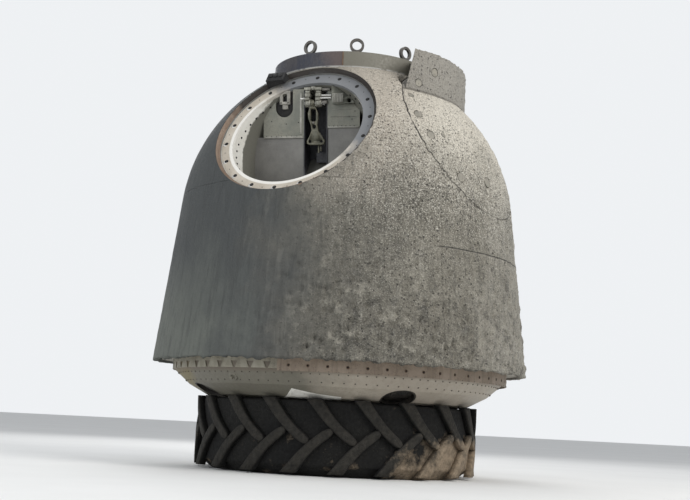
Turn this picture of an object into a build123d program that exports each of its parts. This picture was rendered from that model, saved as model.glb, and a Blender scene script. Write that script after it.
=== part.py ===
"""A landed descent capsule of a three-seat spacecraft, set down on a tractor tyre that lies flat.

Millimetres and degrees, +Z up. The origin is on the ground, on the capsule's axis. -Y is the side with
the open parachute container. An azimuth runs from -Y towards +X, an elevation up from the level plane.
"""

import os
from math import asin, atan2, cos, degrees, radians, sin, sqrt, tan

from build123d import *

os.makedirs("parts", exist_ok=True)

# Body of the capsule: a ball on a cone that is tangent to it
ball_r = 976.0
ball_above_rim = 832.0
cone_angle = 6.5
shield_wall = 30.0
hull_wall = 25.0
seam_gap = 3.0
fit_gap = 0.3
lower_seam_above_rim = 625.0
panel_start_az = 30.0
panel_sweep = 125.0

# Clearance round what moves
swing_gap = 5.0

# Top ring and crew hatch
ring_r = 475.0
ring_wall = 45.0
ring_proud = 90.4
seat_thick = 30.0
hatch_clear_r = 300.0
lid_lap = 28.0
lid_flange = 18.0
lid_wall = 8.0
lid_crown = 55.0
front_az = 16.5
hinge_az = 165.0
hinge_pin_r = 7.0
knuckle_r = 15.0
hinge_width = 120.0
ear_thick = 14.0
arm_thick = 14.0
wheel_r = 85.0
wheel_bar_r = 9.0
wheel_drop = 60.0
dog_count = 8
eye_bore_r = 27.0
eye_wall = 14.0
eye_thick = 18.0
eye_foot = 7.0
eye_azimuths = (-34.5, 1.3, 40.0, 189.0)

# Main parachute container
chute_az = -24.9
chute_bridge = 16.4
chute_cut_r = 467.5
chute_flange_r = 448.0
chute_mouth_r = 381.5
chute_flange_thick = 20.0
chute_flange_inset = 154.0
chute_depth = 369.0
drum_wall = 6.0
bolt_circle_r = 422.0
bolt_hole_r = 7.0
bolt_count = 18

# Rack of plates in the container: its own plane, turned and tipped against the mouth
rack_az = -15.0
rack_el = -10.0
rack_top_depth = 39.0
rack_top_up = 360.0
plate_thick = 6.0
channel_left = -78.0
channel_right = 62.0
channel_low = -570.0
channel_high = 70.0
channel_depth = 120.0
rack_plates = (
    # name, left, right, low, high, layers behind the rack's plane
    ("chute_plate_left", -318.0, channel_left, -268.0, 10.0, 0),
    ("chute_plate_right", channel_right, 250.0, -214.0, 10.0, 0),
    ("chute_panel_left", -460.0, channel_left, -640.0, -262.0, 1),
    ("chute_panel_right", channel_right, 460.0, -640.0, -206.0, 1),
)
latch_slot_u = -194.0
latch_slot_v = -97.0
latch_slot_r = 51.0
latch_slot_rise = 120.0
latch_u = -188.0
latch_v = -43.0
latch_width = 60.0
latch_height = 84.0
latch_bar = 17.0
latch_tail = 46.0
sight_hole_u = 187.0
sight_hole_v = -57.0
sight_hole_r = 12.0
foot_box_low = -405.0
foot_box_high = -347.0
foot_box_width = 78.0
foot_box_depth = 70.0
pin_up = -72.0
pin_r = 10.0
pin_end_left = -71.0
pin_end_right = 50.0
link_length = 236.0
release_pin_r = 6.0
release_pin_rises = (28.0, 43.0)
release_pin_end = 86.0
edge_box_u = -232.0
edge_box_v = 390.0
edge_box_width = 112.0
edge_box_height = 62.0
edge_box_proud = 70.0

# Reserve parachute cover and drum
cover_az = 57.4
cover_r = 487.0
wall_r = 675.0
wall_start_az = 29.7
wall_end_az = 86.0
wall_lean = 10.7
wall_drop_az = 74.0
wall_drop = 30.0
notch_corners = ((238.0, -506.0), (310.0, -430.0), (310.0, -500.0), (287.0, -645.0))
notch_r = 600.0
plug_deep = 12.0
plug_places = (
    # from the cover's middle: along the level, up the slope; radius
    (-394.0, 192.0, 15.0),
    (-452.0, 30.0, 23.0),
    (-440.0, -108.0, 23.0),
    (-349.0, -91.0, 12.0),
    (-307.0, -336.0, 25.0),
    (-70.0, -321.0, 27.0),
    (310.0, -323.0, 27.0),
)
wall_plug_places = (
    # from the wall's near end along its face, drop under the ring's top; radius
    (150.0, 108.0, 23.0),
    (35.0, 192.0, 21.0),
)
reserve_drum_r = 300.0
reserve_depth = 376.0

# Base
frame_inset = 10.0
frame_thick = 25.0
frame_reach = 40.0
floor_thick = 12.0
skirt_overhang = 122.0
dish_wall = 10.0
dish_crown_r = 2200.0
dish_stations = (
    # inset from the dish's rim, drop under the side shield's rim
    (0.0, 45.0),
    (23.0, 64.0),
    (95.0, 128.0),
    (200.0, 184.0),
    (285.0, 200.0),
)
flange_wall = 5.0
tab_count = 60
tab_root = 16.0
tab_slot_low = 12.0
tab_slot_high = 44.0
tab_height = 50.0
band_wall = 9.0
band_height = 62.0
band_start_az = -19.0
band_sweep = 270.0
port_r = 98.0
port_wall = 9.0
port_depth = 70.0
port_inset = 180.0
port_az = 24.0
port_count = 4

# Windows, periscope, thrusters, umbilical plate
window_el = 17.0
window_spread = 111.5
window_r = 150.0
window_pane_r = 110.0
window_pane_thick = 24.0
window_tube = 110.0
window_lip = 12.0
pane_recess = 60.0
scope_r = 95.0
scope_above_rim = 520.0
nozzle_r = 24.0
umbilical_width = 280.0
umbilical_height = 180.0

# Tyre that carries the capsule
tyre_bead_r = 483.0
tyre_wall = 28.0
tread_r = 772.0
tread_chamfer = 55.0
shoulder = 82.0
shoulder_drop = 10.0
tyre_seat_z = 393.4
seat_reach = 85.0
tyre_foot_in = 117.0
tyre_foot_out = 67.0
bead_low_z = 95.0
bead_clear = 13.0
bead_wall = 30.0
lug_height = 34.0
lug_count = 20
lug_low_z = 20.0
lug_rise = 6.0

# Sizes that follow from these
rim_r = ball_r / cos(radians(cone_angle)) + ball_above_rim * tan(radians(cone_angle))
dish_rim_r = rim_r - skirt_overhang
dish_line = [(dish_rim_r - inset, drop) for inset, drop in dish_stations]


def dish_drop(r):
    """Depth of the dish's outer face under the side shield's rim, at a radius."""
    for (r_a, drop_a), (r_b, drop_b) in zip(dish_line, dish_line[1:]):
        if r_b <= r <= r_a:
            return drop_b - (drop_b - drop_a) * (r - r_b) / (r_a - r_b)
    edge_r, edge_drop = dish_line[-1]
    return edge_drop + sqrt(dish_crown_r**2 - r**2) - sqrt(dish_crown_r**2 - edge_r**2)


# The capsule's height is where its dish comes to rest on the tyre's shoulder
seat_out_r = tread_r - shoulder
rim_z = tyre_seat_z + fit_gap + dish_drop(seat_out_r)
ball_z = rim_z + ball_above_rim
seam_z = ball_z + ball_r * sin(radians(cone_angle))
ring_top_z = ball_z + sqrt(ball_r**2 - ring_r**2) + ring_proud


def spread(r):
    """Angle from the ball's centre to the edge of a round opening of a radius."""
    return degrees(asin(r / ball_r))


# The container's opening stops short of the ring, and the reserve cover meets it
chute_el = 90.0 - spread(ring_r) - spread(chute_cut_r) - degrees(chute_bridge / ball_r)
cover_el = 90.0 - spread(ring_r) - spread(cover_r)
chute_flange_out = ball_r - chute_flange_inset
half_ball = ball_r / 2


def radial(az):
    """Unit vector that points outwards at an azimuth, level."""
    return Vector(sin(radians(az)), -cos(radians(az)), 0)


def tangent(az):
    """Unit vector along increasing azimuth."""
    return Vector(cos(radians(az)), sin(radians(az)), 0)


def section(az=0.0):
    """Upright half-plane through the axis: x is the radius, y the height."""
    return Plane(origin=(0, 0, 0), x_dir=radial(az), z_dir=-tangent(az))


def facing(az, el, distance):
    """Plane square to a direction from the ball's centre: x is level, y points up the slope."""
    way = radial(az) * cos(radians(el)) + Vector(0, 0, sin(radians(el)))
    return Plane(origin=Vector(0, 0, ball_z) + way * distance, x_dir=tangent(az), z_dir=way)


def cone_r(z, depth=0.0):
    """Radius of the cone at a height, at a depth under its outer face."""
    slope = tan(radians(cone_angle))
    return (ball_r - depth) / cos(radians(cone_angle)) - (z - ball_z) * slope


def ball_radius_at(z, depth=0.0):
    """Radius of the ball at a height, at a depth under its outer face."""
    return sqrt((ball_r - depth) ** 2 - (z - ball_z) ** 2)


def ball_height_at(r, depth=0.0):
    """Height of the ball's upper face at a radius, at a depth under its outer face."""
    return ball_z + sqrt((ball_r - depth) ** 2 - r**2)


def on_ball(angle, depth=0.0):
    """Point of the section on the ball, at an elevation and a depth."""
    reach = ball_r - depth
    return (reach * cos(radians(angle)), ball_z + reach * sin(radians(angle)))


def bell_face(low_z, top_r, depth_out, depth_in):
    """Section of the bell's wall, cone and ball, from a height up to a radius, between two depths."""
    with BuildSketch(section()) as face:
        with BuildLine():
            top_out = (top_r, ball_height_at(top_r, depth_out))
            top_in = (top_r, ball_height_at(top_r, depth_in))
            low_out = (cone_r(low_z, depth_out), low_z)
            low_in = (cone_r(low_z, depth_in), low_z)
            Line(low_out, on_ball(cone_angle, depth_out))
            ThreePointArc(on_ball(cone_angle, depth_out), on_ball(40.0, depth_out), top_out)
            Line(top_out, top_in)
            ThreePointArc(top_in, on_ball(40.0, depth_in), on_ball(cone_angle, depth_in))
            Line(on_ball(cone_angle, depth_in), low_in)
            Line(low_in, low_out)
        make_face()
    return face.sketch


def side_face(low_z, high_z, start_az, depth_out, depth_in):
    """Section of the cone's wall between two heights and two depths, to be turned about the axis."""
    with BuildSketch(section(start_az)) as face:
        with BuildLine():
            Polyline(
                (cone_r(low_z, depth_out), low_z),
                (cone_r(high_z, depth_out), high_z),
                (cone_r(high_z, depth_in), high_z),
                (cone_r(low_z, depth_in), low_z),
                close=True,
            )
        make_face()
    return face.sketch


def finish(piece, name):
    """Labels a finished piece and writes its file."""
    piece.part.label = name
    export_step(piece.part, f"parts/{name}.step")


# The reserve cover's upright wall ends in a plane that leans along the container's side
wall_side = Plane(
    origin=(wall_r * sin(radians(wall_start_az)), 0, ring_top_z),
    x_dir=(0, -1, 0),
    z_dir=(-cos(radians(wall_lean)), 0, sin(radians(wall_lean))),
)
with BuildPart() as wall_opening:
    with BuildSketch(section(wall_start_az - wall_lean)):
        with Locations(((ring_r + notch_r) / 2, ball_z + ball_r)):
            Rectangle(notch_r - ring_r + 2 * seam_gap, 1.2 * ball_r)
    revolve(axis=Axis.Z, revolution_arc=wall_end_az - wall_start_az + wall_lean + degrees(seam_gap / ring_r))
    with BuildSketch(wall_side.offset(seam_gap)):
        Rectangle(4 * ball_r, 4 * ball_r)
    extrude(amount=ball_r, mode=Mode.SUBTRACT)

# Openings in the side shield: the container, the reserve cover with its upright wall, and the windows
window_azimuths = (front_az - window_spread, front_az + window_spread)
with BuildPart() as shield_openings:
    with BuildSketch(facing(chute_az, chute_el, half_ball)):
        Circle(chute_cut_r)
    extrude(amount=ball_r)
    with BuildSketch(facing(cover_az, cover_el, half_ball)):
        Circle(cover_r + seam_gap)
    extrude(amount=ball_r)
    add(wall_opening.part)
    with BuildSketch(Plane.XY.offset(ball_z)):
        with BuildLine():
            Polyline(*notch_corners, close=True)
        make_face()
    extrude(amount=2 * ball_r)
    for az in window_azimuths:
        with BuildSketch(facing(az, window_el, half_ball)):
            Circle(window_r + fit_gap)
        extrude(amount=ball_r)

# Side shield, lower part: a cone in three panels
panel_end_az = panel_start_az + panel_sweep
lower_seam_z = rim_z + lower_seam_above_rim
panel_butt = degrees(fit_gap / ball_r)
cone_panels = (
    # name, lowest z, highest z, first azimuth, sweep
    ("shield_front", rim_z, seam_z, panel_end_az + panel_butt, 360.0 - panel_sweep - 2 * panel_butt),
    ("shield_right_lower", rim_z, lower_seam_z - seam_gap, panel_start_az, panel_sweep),
    ("shield_right_upper", lower_seam_z, seam_z, panel_start_az, panel_sweep),
)
shield_panels = {}
for name, low_z, high_z, first_az, sweep in cone_panels:
    with BuildPart() as panel:
        revolve(side_face(low_z, high_z, first_az, 0.0, shield_wall), axis=Axis.Z, revolution_arc=sweep)
        add(shield_openings.part, mode=Mode.SUBTRACT)
    shield_panels[name] = panel

# Side shield, upper part: the ball
with BuildPart() as shield_dome:
    with BuildSketch(section()):
        with BuildLine():
            low_out = (ball_radius_at(seam_z + seam_gap), seam_z + seam_gap)
            low_in = (ball_radius_at(seam_z + seam_gap, shield_wall), seam_z + seam_gap)
            top_out = (ring_r + fit_gap, ball_height_at(ring_r + fit_gap))
            top_in = (ring_r + fit_gap, ball_height_at(ring_r + fit_gap, shield_wall))
            ThreePointArc(low_out, on_ball(40.0), top_out)
            Line(top_out, top_in)
            ThreePointArc(top_in, on_ball(40.0, shield_wall), low_in)
            Line(low_in, low_out)
        make_face()
    revolve(axis=Axis.Z)
    add(shield_openings.part, mode=Mode.SUBTRACT)
finish(shield_dome, "shield_dome")

# Reserve parachute cover: a round piece of the ball with an upright wall that meets the top ring
with BuildPart() as cover_wall:
    with BuildSketch(section(wall_start_az - wall_lean)):
        with BuildLine():
            Polyline(
                (ring_r + fit_gap, ball_height_at(wall_r) - shield_wall),
                (wall_r, ball_height_at(wall_r) - shield_wall),
                (wall_r, ring_top_z),
                (ring_r + fit_gap, ring_top_z),
                close=True,
            )
        make_face()
    revolve(axis=Axis.Z, revolution_arc=wall_end_az - wall_start_az + wall_lean)
    with BuildSketch(wall_side):
        Rectangle(4 * ball_r, 4 * ball_r)
    extrude(amount=ball_r, mode=Mode.SUBTRACT)
    # The wall's far end slopes down
    drop_start = radial(wall_drop_az) * wall_r
    drop_chord = tangent((wall_drop_az + wall_end_az) / 2)
    drop_angle = degrees(atan2(wall_drop, wall_r * radians(wall_end_az - wall_drop_az)))
    drop_x = drop_chord * cos(radians(drop_angle)) - Vector(0, 0, sin(radians(drop_angle)))
    drop_plane = Plane(
        origin=Vector(drop_start.X, drop_start.Y, ring_top_z),
        x_dir=drop_x,
        z_dir=radial((wall_drop_az + wall_end_az) / 2),
    )
    with BuildSketch(drop_plane):
        Rectangle(ball_r, ball_r, align=(Align.MIN, Align.MIN))
    extrude(amount=ball_r, both=True, mode=Mode.SUBTRACT)

plug_seats = []
for along, up, r in plug_places:
    el = cover_el + degrees(up / ball_r)
    az = cover_az + degrees(along / (ball_r * cos(radians(el))))
    plug_seats.append((facing(az, el, ball_r - plug_deep), r))
for along, drop, r in wall_plug_places:
    az = wall_start_az + degrees(along / wall_r)
    spot = radial(az) * (wall_r - plug_deep)
    seat = Plane(origin=Vector(spot.X, spot.Y, ring_top_z - drop), x_dir=tangent(az), z_dir=radial(az))
    plug_seats.append((seat, r))

with BuildPart() as reserve_cover:
    revolve(bell_face(ball_z - cover_r / 2, ring_r + fit_gap, 0.0, shield_wall), axis=Axis.Z)
    with BuildSketch(facing(cover_az, cover_el, half_ball)):
        Circle(cover_r)
    extrude(amount=ball_r, mode=Mode.INTERSECT)
    add(cover_wall.part)
    with Locations((0, 0, ball_z)):
        Sphere(ball_r - shield_wall, mode=Mode.SUBTRACT)
    for seat, r in plug_seats:
        with BuildSketch(seat):
            Circle(r + fit_gap)
        extrude(amount=3 * plug_deep, mode=Mode.SUBTRACT)
finish(reserve_cover, "reserve_cover")

with BuildPart() as cover_plugs:
    for seat, r in plug_seats:
        with BuildSketch(seat.offset(fit_gap)):
            Circle(r)
        extrude(amount=plug_deep - 2.0)
finish(cover_plugs, "cover_plugs")

# Pressure hull: one shell under the shield, open for the seat, the container and the windows
hull_out = shield_wall + fit_gap
hull_in = hull_out + hull_wall
frame_low_z = rim_z + frame_inset
frame_top_z = frame_low_z + frame_thick
seat_top_z = ball_height_at(ring_r, hull_out)
seat_low_z = seat_top_z - seat_thick
with BuildPart() as pressure_hull:
    revolve(bell_face(frame_top_z, ring_r + fit_gap, hull_out, hull_in), axis=Axis.Z)
    with BuildSketch(facing(chute_az, chute_el, half_ball)):
        Circle(chute_flange_r + fit_gap)
    extrude(amount=ball_r, mode=Mode.SUBTRACT)
    for az in window_azimuths:
        with BuildSketch(facing(az, window_el, half_ball)):
            Circle(window_r + fit_gap)
        extrude(amount=ball_r, mode=Mode.SUBTRACT)
finish(pressure_hull, "pressure_hull")

# Top ring and the hatch seat inside it
with BuildPart() as top_ring:
    with BuildSketch(Plane.XY.offset(seat_top_z)):
        Circle(ring_r)
        Circle(ring_r - ring_wall, mode=Mode.SUBTRACT)
    extrude(amount=ring_top_z - seat_top_z)
finish(top_ring, "top_ring")

with BuildPart() as hatch_seat:
    with BuildSketch(Plane.XY.offset(seat_low_z)):
        Circle(ring_r)
        Circle(hatch_clear_r, mode=Mode.SUBTRACT)
    extrude(amount=seat_thick)
    with BuildSketch(facing(chute_az, chute_el, half_ball)):
        Circle(chute_flange_r + fit_gap)
    extrude(amount=ball_r, mode=Mode.SUBTRACT)
finish(hatch_seat, "hatch_seat")

# Hatch lid: a flange under the seat and a crowned plug that fills the opening
lid_top_z = seat_low_z - swing_gap
lid_low_z = lid_top_z - lid_flange
plug_reach_r = hatch_clear_r - swing_gap
crown_base_z = seat_top_z - seat_thick / 2
crown_r = (plug_reach_r**2 + lid_crown**2) / (2 * lid_crown)
crown_centre = crown_base_z + lid_crown - crown_r


def lid_point(r, inset=0.0):
    """Point of the section on the lid's crown, at an inset under its outer face."""
    return (r, crown_centre + sqrt((crown_r - inset) ** 2 - r**2))


rib_r = plug_reach_r - 2 * lid_wall
with BuildPart() as hatch_lid:
    with BuildSketch(section()):
        with BuildLine():
            ThreePointArc(lid_point(plug_reach_r), lid_point(plug_reach_r / 2), lid_point(0))
            Line(lid_point(0), lid_point(0, lid_wall))
            ThreePointArc(lid_point(0, lid_wall), lid_point(rib_r / 2, lid_wall), lid_point(rib_r, lid_wall))
            Polyline(
                lid_point(rib_r, lid_wall),
                (rib_r, lid_low_z),
                (hatch_clear_r + lid_lap, lid_low_z),
                (hatch_clear_r + lid_lap, lid_top_z),
                (plug_reach_r, lid_top_z),
                lid_point(plug_reach_r),
            )
        make_face()
    revolve(axis=Axis.Z)
finish(hatch_lid, "hatch_lid")

# Hatch hinge: two ears under the seat, a pin through them, and an arm under the lid
hinge_r = hatch_clear_r + lid_lap + knuckle_r + 2 * swing_gap
hinge_z = lid_low_z - arm_thick / 2
hinge_foot = radial(hinge_az) * hinge_r
hinge_plane = Plane(
    origin=Vector(hinge_foot.X, hinge_foot.Y, hinge_z),
    x_dir=radial(hinge_az + 180.0),
    z_dir=-tangent(hinge_az + 180.0),
)
with BuildPart() as hinge_ears:
    ear_planes = [
        hinge_plane.offset(hinge_width / 2 - ear_thick),
        hinge_plane.offset(-hinge_width / 2),
    ]
    with BuildSketch(*ear_planes):
        Circle(knuckle_r)
        with Locations((0, 0)):
            Rectangle(2 * knuckle_r, seat_low_z - hinge_z, align=(Align.CENTER, Align.MIN))
        Circle(hinge_pin_r + fit_gap, mode=Mode.SUBTRACT)
    extrude(amount=ear_thick)
finish(hinge_ears, "hinge_ears")

with BuildPart() as hinge_pin:
    with BuildSketch(hinge_plane.offset(-hinge_width / 2 - 6.0)):
        Circle(hinge_pin_r)
    extrude(amount=hinge_width + 12.0)
finish(hinge_pin, "hinge_pin")

arm_width = hinge_width - 2 * ear_thick - 2 * swing_gap
with BuildPart() as hinge_arm:
    with BuildSketch(hinge_plane.offset(-arm_width / 2)):
        Circle(knuckle_r)
        with Locations((0, -arm_thick / 2)):
            Rectangle(hinge_r + rib_r + lid_wall, arm_thick, align=(Align.MIN, Align.MIN))
        Circle(hinge_pin_r + fit_gap, mode=Mode.SUBTRACT)
    extrude(amount=arm_width)
finish(hinge_arm, "hinge_arm")

# Handwheel under the lid, on a boss of the arm, and the latch dogs round the lid's edge
wheel_z = hinge_z - arm_thick / 2 - wheel_drop
with BuildPart() as hatch_handwheel:
    with BuildSketch(section()):
        with Locations((wheel_r, wheel_z)):
            Circle(wheel_bar_r)
    revolve(axis=Axis.Z)
    with BuildSketch(Plane.XY.offset(wheel_z - wheel_bar_r)):
        Circle(2 * wheel_bar_r)
    extrude(amount=wheel_drop + wheel_bar_r)
    for turn in range(3):
        with BuildSketch(section(hinge_az + 60.0 + 120.0 * turn)):
            with Locations((wheel_r / 2, wheel_z)):
                Rectangle(wheel_r, wheel_bar_r)
        extrude(amount=wheel_bar_r / 2, both=True)
finish(hatch_handwheel, "hatch_handwheel")

dog_r = hatch_clear_r + lid_lap - 32.0
with BuildPart() as latch_dogs:
    for number in range(dog_count):
        az = hinge_az + 22.5 + 360.0 / dog_count * number
        spot = radial(az) * dog_r
        dog_plane = Plane(origin=Vector(spot.X, spot.Y, lid_low_z), x_dir=tangent(az), z_dir=(0, 0, -1))
        with BuildSketch(dog_plane):
            Rectangle(26.0, 52.0)
        extrude(amount=16.0)
finish(latch_dogs, "latch_dogs")

# Lifting eyes on the ring's top
eye_r = eye_bore_r + eye_wall
with BuildPart() as lifting_eyes:
    for az in eye_azimuths:
        spot = radial(az) * (ring_r - ring_wall / 2)
        eye_plane = Plane(
            origin=Vector(spot.X, spot.Y, ring_top_z + eye_foot + eye_r - eye_wall / 2),
            x_dir=tangent(az),
            z_dir=radial(az),
        )
        with BuildSketch(eye_plane.offset(-eye_thick / 2)):
            Circle(eye_r)
            with Locations((0, -eye_foot - eye_r + eye_wall / 2)):
                Rectangle(2 * eye_wall, eye_foot + eye_wall / 2, align=(Align.CENTER, Align.MIN))
            Circle(eye_bore_r, mode=Mode.SUBTRACT)
        extrude(amount=eye_thick)
        with BuildSketch(Plane(origin=Vector(spot.X, spot.Y, ring_top_z), z_dir=(0, 0, 1))):
            Circle(eye_thick)
        extrude(amount=eye_foot / 2)
finish(lifting_eyes, "lifting_eyes")

# Main parachute container: bolted flange, and a drum whose back slopes behind the rack of plates
with BuildPart() as chute_flange:
    with BuildSketch(facing(chute_az, chute_el, chute_flange_out - chute_flange_thick)):
        Circle(chute_flange_r)
        Circle(chute_mouth_r, mode=Mode.SUBTRACT)
        with PolarLocations(bolt_circle_r, bolt_count, start_angle=90.0):
            Circle(bolt_hole_r, mode=Mode.SUBTRACT)
    extrude(amount=chute_flange_thick)
finish(chute_flange, "chute_flange")

# The rack's own plane, turned and tipped against the mouth
rack_origin = facing(chute_az, chute_el, chute_flange_out - rack_top_depth).from_local_coords((0, rack_top_up, 0))
rack_way = radial(rack_az) * cos(radians(rack_el)) + Vector(0, 0, sin(radians(rack_el)))
rack = Plane(origin=rack_origin, x_dir=tangent(rack_az), z_dir=rack_way)
drum_top = chute_flange_out - chute_flange_thick
drum_low = chute_flange_out - chute_depth - drum_wall
rack_back = rack.offset(-channel_depth - fit_gap)
with BuildPart() as drum_space:
    with BuildSketch(facing(chute_az, chute_el, drum_low + drum_wall)):
        Circle(chute_mouth_r)
    extrude(amount=2 * chute_depth)
    with BuildSketch(rack_back):
        Rectangle(3 * ball_r, 3 * ball_r)
    extrude(amount=-ball_r, mode=Mode.SUBTRACT)
with BuildPart() as drum_side:
    with BuildSketch(facing(chute_az, chute_el, drum_low)):
        Circle(chute_mouth_r + drum_wall)
        Circle(chute_mouth_r, mode=Mode.SUBTRACT)
    extrude(amount=drum_top - drum_low)
with BuildPart() as chute_drum:
    add(drum_side.part)
    with BuildSketch(rack_back.offset(-drum_wall)):
        Rectangle(3 * ball_r, 3 * ball_r)
    extrude(amount=-ball_r, mode=Mode.SUBTRACT)
    # The floor and the sloping back are one bent plate inside the drum's side
    with BuildSketch(facing(chute_az, chute_el, drum_low)):
        Circle(chute_mouth_r - fit_gap)
    extrude(amount=drum_top - drum_low)
    with BuildSketch(rack_back.offset(-drum_wall)):
        Rectangle(3 * ball_r, 3 * ball_r)
    extrude(amount=-ball_r, mode=Mode.SUBTRACT)
    add(drum_space.part, mode=Mode.SUBTRACT)
finish(chute_drum, "chute_drum")

# Plates each side of a channel, all trimmed to the inside of the drum
with BuildPart() as rack_space:
    with BuildSketch(facing(chute_az, chute_el, drum_low + drum_wall + fit_gap)):
        Circle(chute_mouth_r - fit_gap)
    extrude(amount=chute_depth - chute_flange_thick / 2)

for name, left, right, low, high, layers in rack_plates:
    behind = layers * (plate_thick + fit_gap)
    with BuildPart() as plate:
        with BuildSketch(rack.offset(-behind - plate_thick)):
            with Locations(((left + right) / 2, (low + high) / 2)):
                Rectangle(right - left, high - low)
            if name == "chute_plate_left":
                with Locations((latch_slot_u, latch_slot_v)):
                    Circle(latch_slot_r, mode=Mode.SUBTRACT)
                    Rectangle(
                        2 * latch_slot_r,
                        latch_slot_rise,
                        align=(Align.CENTER, Align.MIN),
                        mode=Mode.SUBTRACT,
                    )
            if name == "chute_plate_right":
                with Locations((sight_hole_u, sight_hole_v)):
                    Circle(sight_hole_r, mode=Mode.SUBTRACT)
        extrude(amount=plate_thick)
        add(rack_space.part, mode=Mode.INTERSECT)
    finish(plate, name)

channel_width = channel_right - channel_left - 2 * fit_gap
channel_middle = (channel_left + channel_right) / 2
with BuildPart() as link_channel:
    with BuildSketch(rack.offset(-channel_depth)):
        with Locations((channel_middle, (channel_low + channel_high) / 2)):
            Rectangle(channel_width, channel_high - channel_low)
    extrude(amount=channel_depth)
    with BuildSketch(rack.offset(-channel_depth + plate_thick)):
        with Locations((channel_middle, (channel_low + channel_high) / 2)):
            Rectangle(channel_width - 2 * plate_thick, 2 * (channel_high - channel_low))
    extrude(amount=channel_depth, mode=Mode.SUBTRACT)
    with BuildSketch(rack.offset(-channel_depth)):
        foot_box_u = channel_right - fit_gap - foot_box_width / 2
        with Locations((foot_box_u, (foot_box_low + foot_box_high) / 2)):
            Rectangle(foot_box_width, foot_box_high - foot_box_low)
    extrude(amount=foot_box_depth)
    add(rack_space.part, mode=Mode.INTERSECT)
finish(link_channel, "link_channel")

# Clevis on the channel's back, its cross pin, and the link that hangs from it
cheek_faces = (
    # left, right
    (-70.0, -42.0),
    (-10.0, 20.0),
)
clevis_back = -channel_depth + plate_thick + fit_gap
pin_plane = Plane(
    origin=rack.from_local_coords((0, pin_up, 0)),
    x_dir=-rack.z_dir,
    z_dir=rack.x_dir,
)
with BuildPart() as link_clevis:
    for left, right in cheek_faces:
        with BuildSketch(pin_plane.offset(left)):
            with BuildLine():
                Polyline(
                    (-26.0, 86.0),
                    (-clevis_back, 66.0),
                    (-clevis_back, -60.0),
                    (10.0, -36.0),
                    (-26.0, -22.0),
                    close=True,
                )
            make_face()
            Circle(pin_r + fit_gap, mode=Mode.SUBTRACT)
        extrude(amount=right - left)
    add(rack_space.part, mode=Mode.INTERSECT)
finish(link_clevis, "link_clevis")

with BuildPart() as cross_pin:
    with BuildSketch(pin_plane.offset(pin_end_left)):
        Circle(pin_r)
    extrude(amount=pin_end_right - pin_end_left)
finish(cross_pin, "cross_pin")

with BuildPart() as riser_link:
    with BuildSketch(pin_plane.offset(-38.0)):
        Circle(22.0)
        Circle(pin_r + fit_gap, mode=Mode.SUBTRACT)
    extrude(amount=24.0)
    with BuildSketch(rack.offset(-9.0)):
        with BuildLine():
            Polyline(
                (-38.0, pin_up - 16.0),
                (-14.0, pin_up - 16.0),
                (-14.0, pin_up - 44.0),
                (8.0, pin_up - 84.0),
                (6.0, pin_up - 150.0),
                (44.0, pin_up - link_length + 20.0),
                (40.0, pin_up - link_length),
                (-52.0, pin_up - link_length),
                (-54.0, pin_up - link_length + 24.0),
                (-32.0, pin_up - 150.0),
                (-50.0, pin_up - 84.0),
                (-38.0, pin_up - 44.0),
                close=True,
            )
        make_face()
        with Locations((-20.0, pin_up - 95.0)):
            SlotOverall(80.0, 18.0, rotation=92.0, mode=Mode.SUBTRACT)
        with Locations((-36.0, pin_up - link_length + 18.0), (26.0, pin_up - link_length + 18.0)):
            Circle(8.0, mode=Mode.SUBTRACT)
    extrude(amount=18.0)
finish(riser_link, "riser_link")

# Latch in the left plate's cut-out, release pins by the clevis, and the box on the opening's upper edge
with BuildPart() as chute_latch:
    with BuildSketch(rack.offset(-plate_thick)):
        with Locations((latch_u, latch_v)):
            Rectangle(latch_width, latch_height)
            Rectangle(latch_width - 2 * latch_bar, latch_height - 2.6 * latch_bar, mode=Mode.SUBTRACT)
        with Locations((latch_u, latch_v - (latch_height + latch_tail) / 2)):
            Rectangle(latch_bar, latch_tail + fit_gap)
    extrude(amount=plate_thick * 2)
    add(rack_space.part, mode=Mode.INTERSECT)
finish(chute_latch, "chute_latch")

with BuildPart() as release_pins:
    for up in release_pin_rises:
        with BuildSketch(pin_plane.offset(cheek_faces[1][1] + fit_gap)):
            with Locations((-2.0 * release_pin_r, up)):
                Circle(release_pin_r)
        extrude(amount=release_pin_end - cheek_faces[1][1])
    add(rack_space.part, mode=Mode.INTERSECT)
finish(release_pins, "release_pins")

with BuildPart() as edge_box_room:
    with Locations((0, 0, ball_z)):
        Sphere(ball_r + fit_gap)
    with BuildSketch(facing(chute_az, chute_el, half_ball)):
        Circle(chute_cut_r - fit_gap)
    extrude(amount=ball_r, mode=Mode.SUBTRACT)
    with Locations((0, 0, ball_z)):
        Sphere(ball_r - hull_out + fit_gap)
with BuildPart() as edge_box:
    with BuildSketch(facing(chute_az, chute_el, chute_flange_out + fit_gap)):
        with Locations((edge_box_u, edge_box_v)):
            Rectangle(edge_box_width, edge_box_height)
    extrude(amount=edge_box_proud)
    chamfer(edge_box.faces().sort_by(Axis(rack_origin, radial(chute_az)))[-1].edges(), edge_box_proud / 10)
    add(edge_box_room.part, mode=Mode.SUBTRACT)
finish(edge_box, "edge_box")

# Reserve parachute drum: a closed cup under the hull, behind the cover
with BuildPart() as hull_inside:
    with Locations((0, 0, ball_z)):
        Sphere(ball_r - hull_in - fit_gap)
with BuildPart() as reserve_drum:
    with BuildSketch(facing(cover_az, cover_el, ball_r - reserve_depth)):
        Circle(reserve_drum_r)
    extrude(amount=reserve_depth)
    with BuildSketch(facing(cover_az, cover_el, ball_r - reserve_depth + drum_wall)):
        Circle(reserve_drum_r - drum_wall)
    extrude(amount=ball_r, mode=Mode.SUBTRACT)
    add(hull_inside.part, mode=Mode.INTERSECT)
finish(reserve_drum, "reserve_drum")

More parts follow.
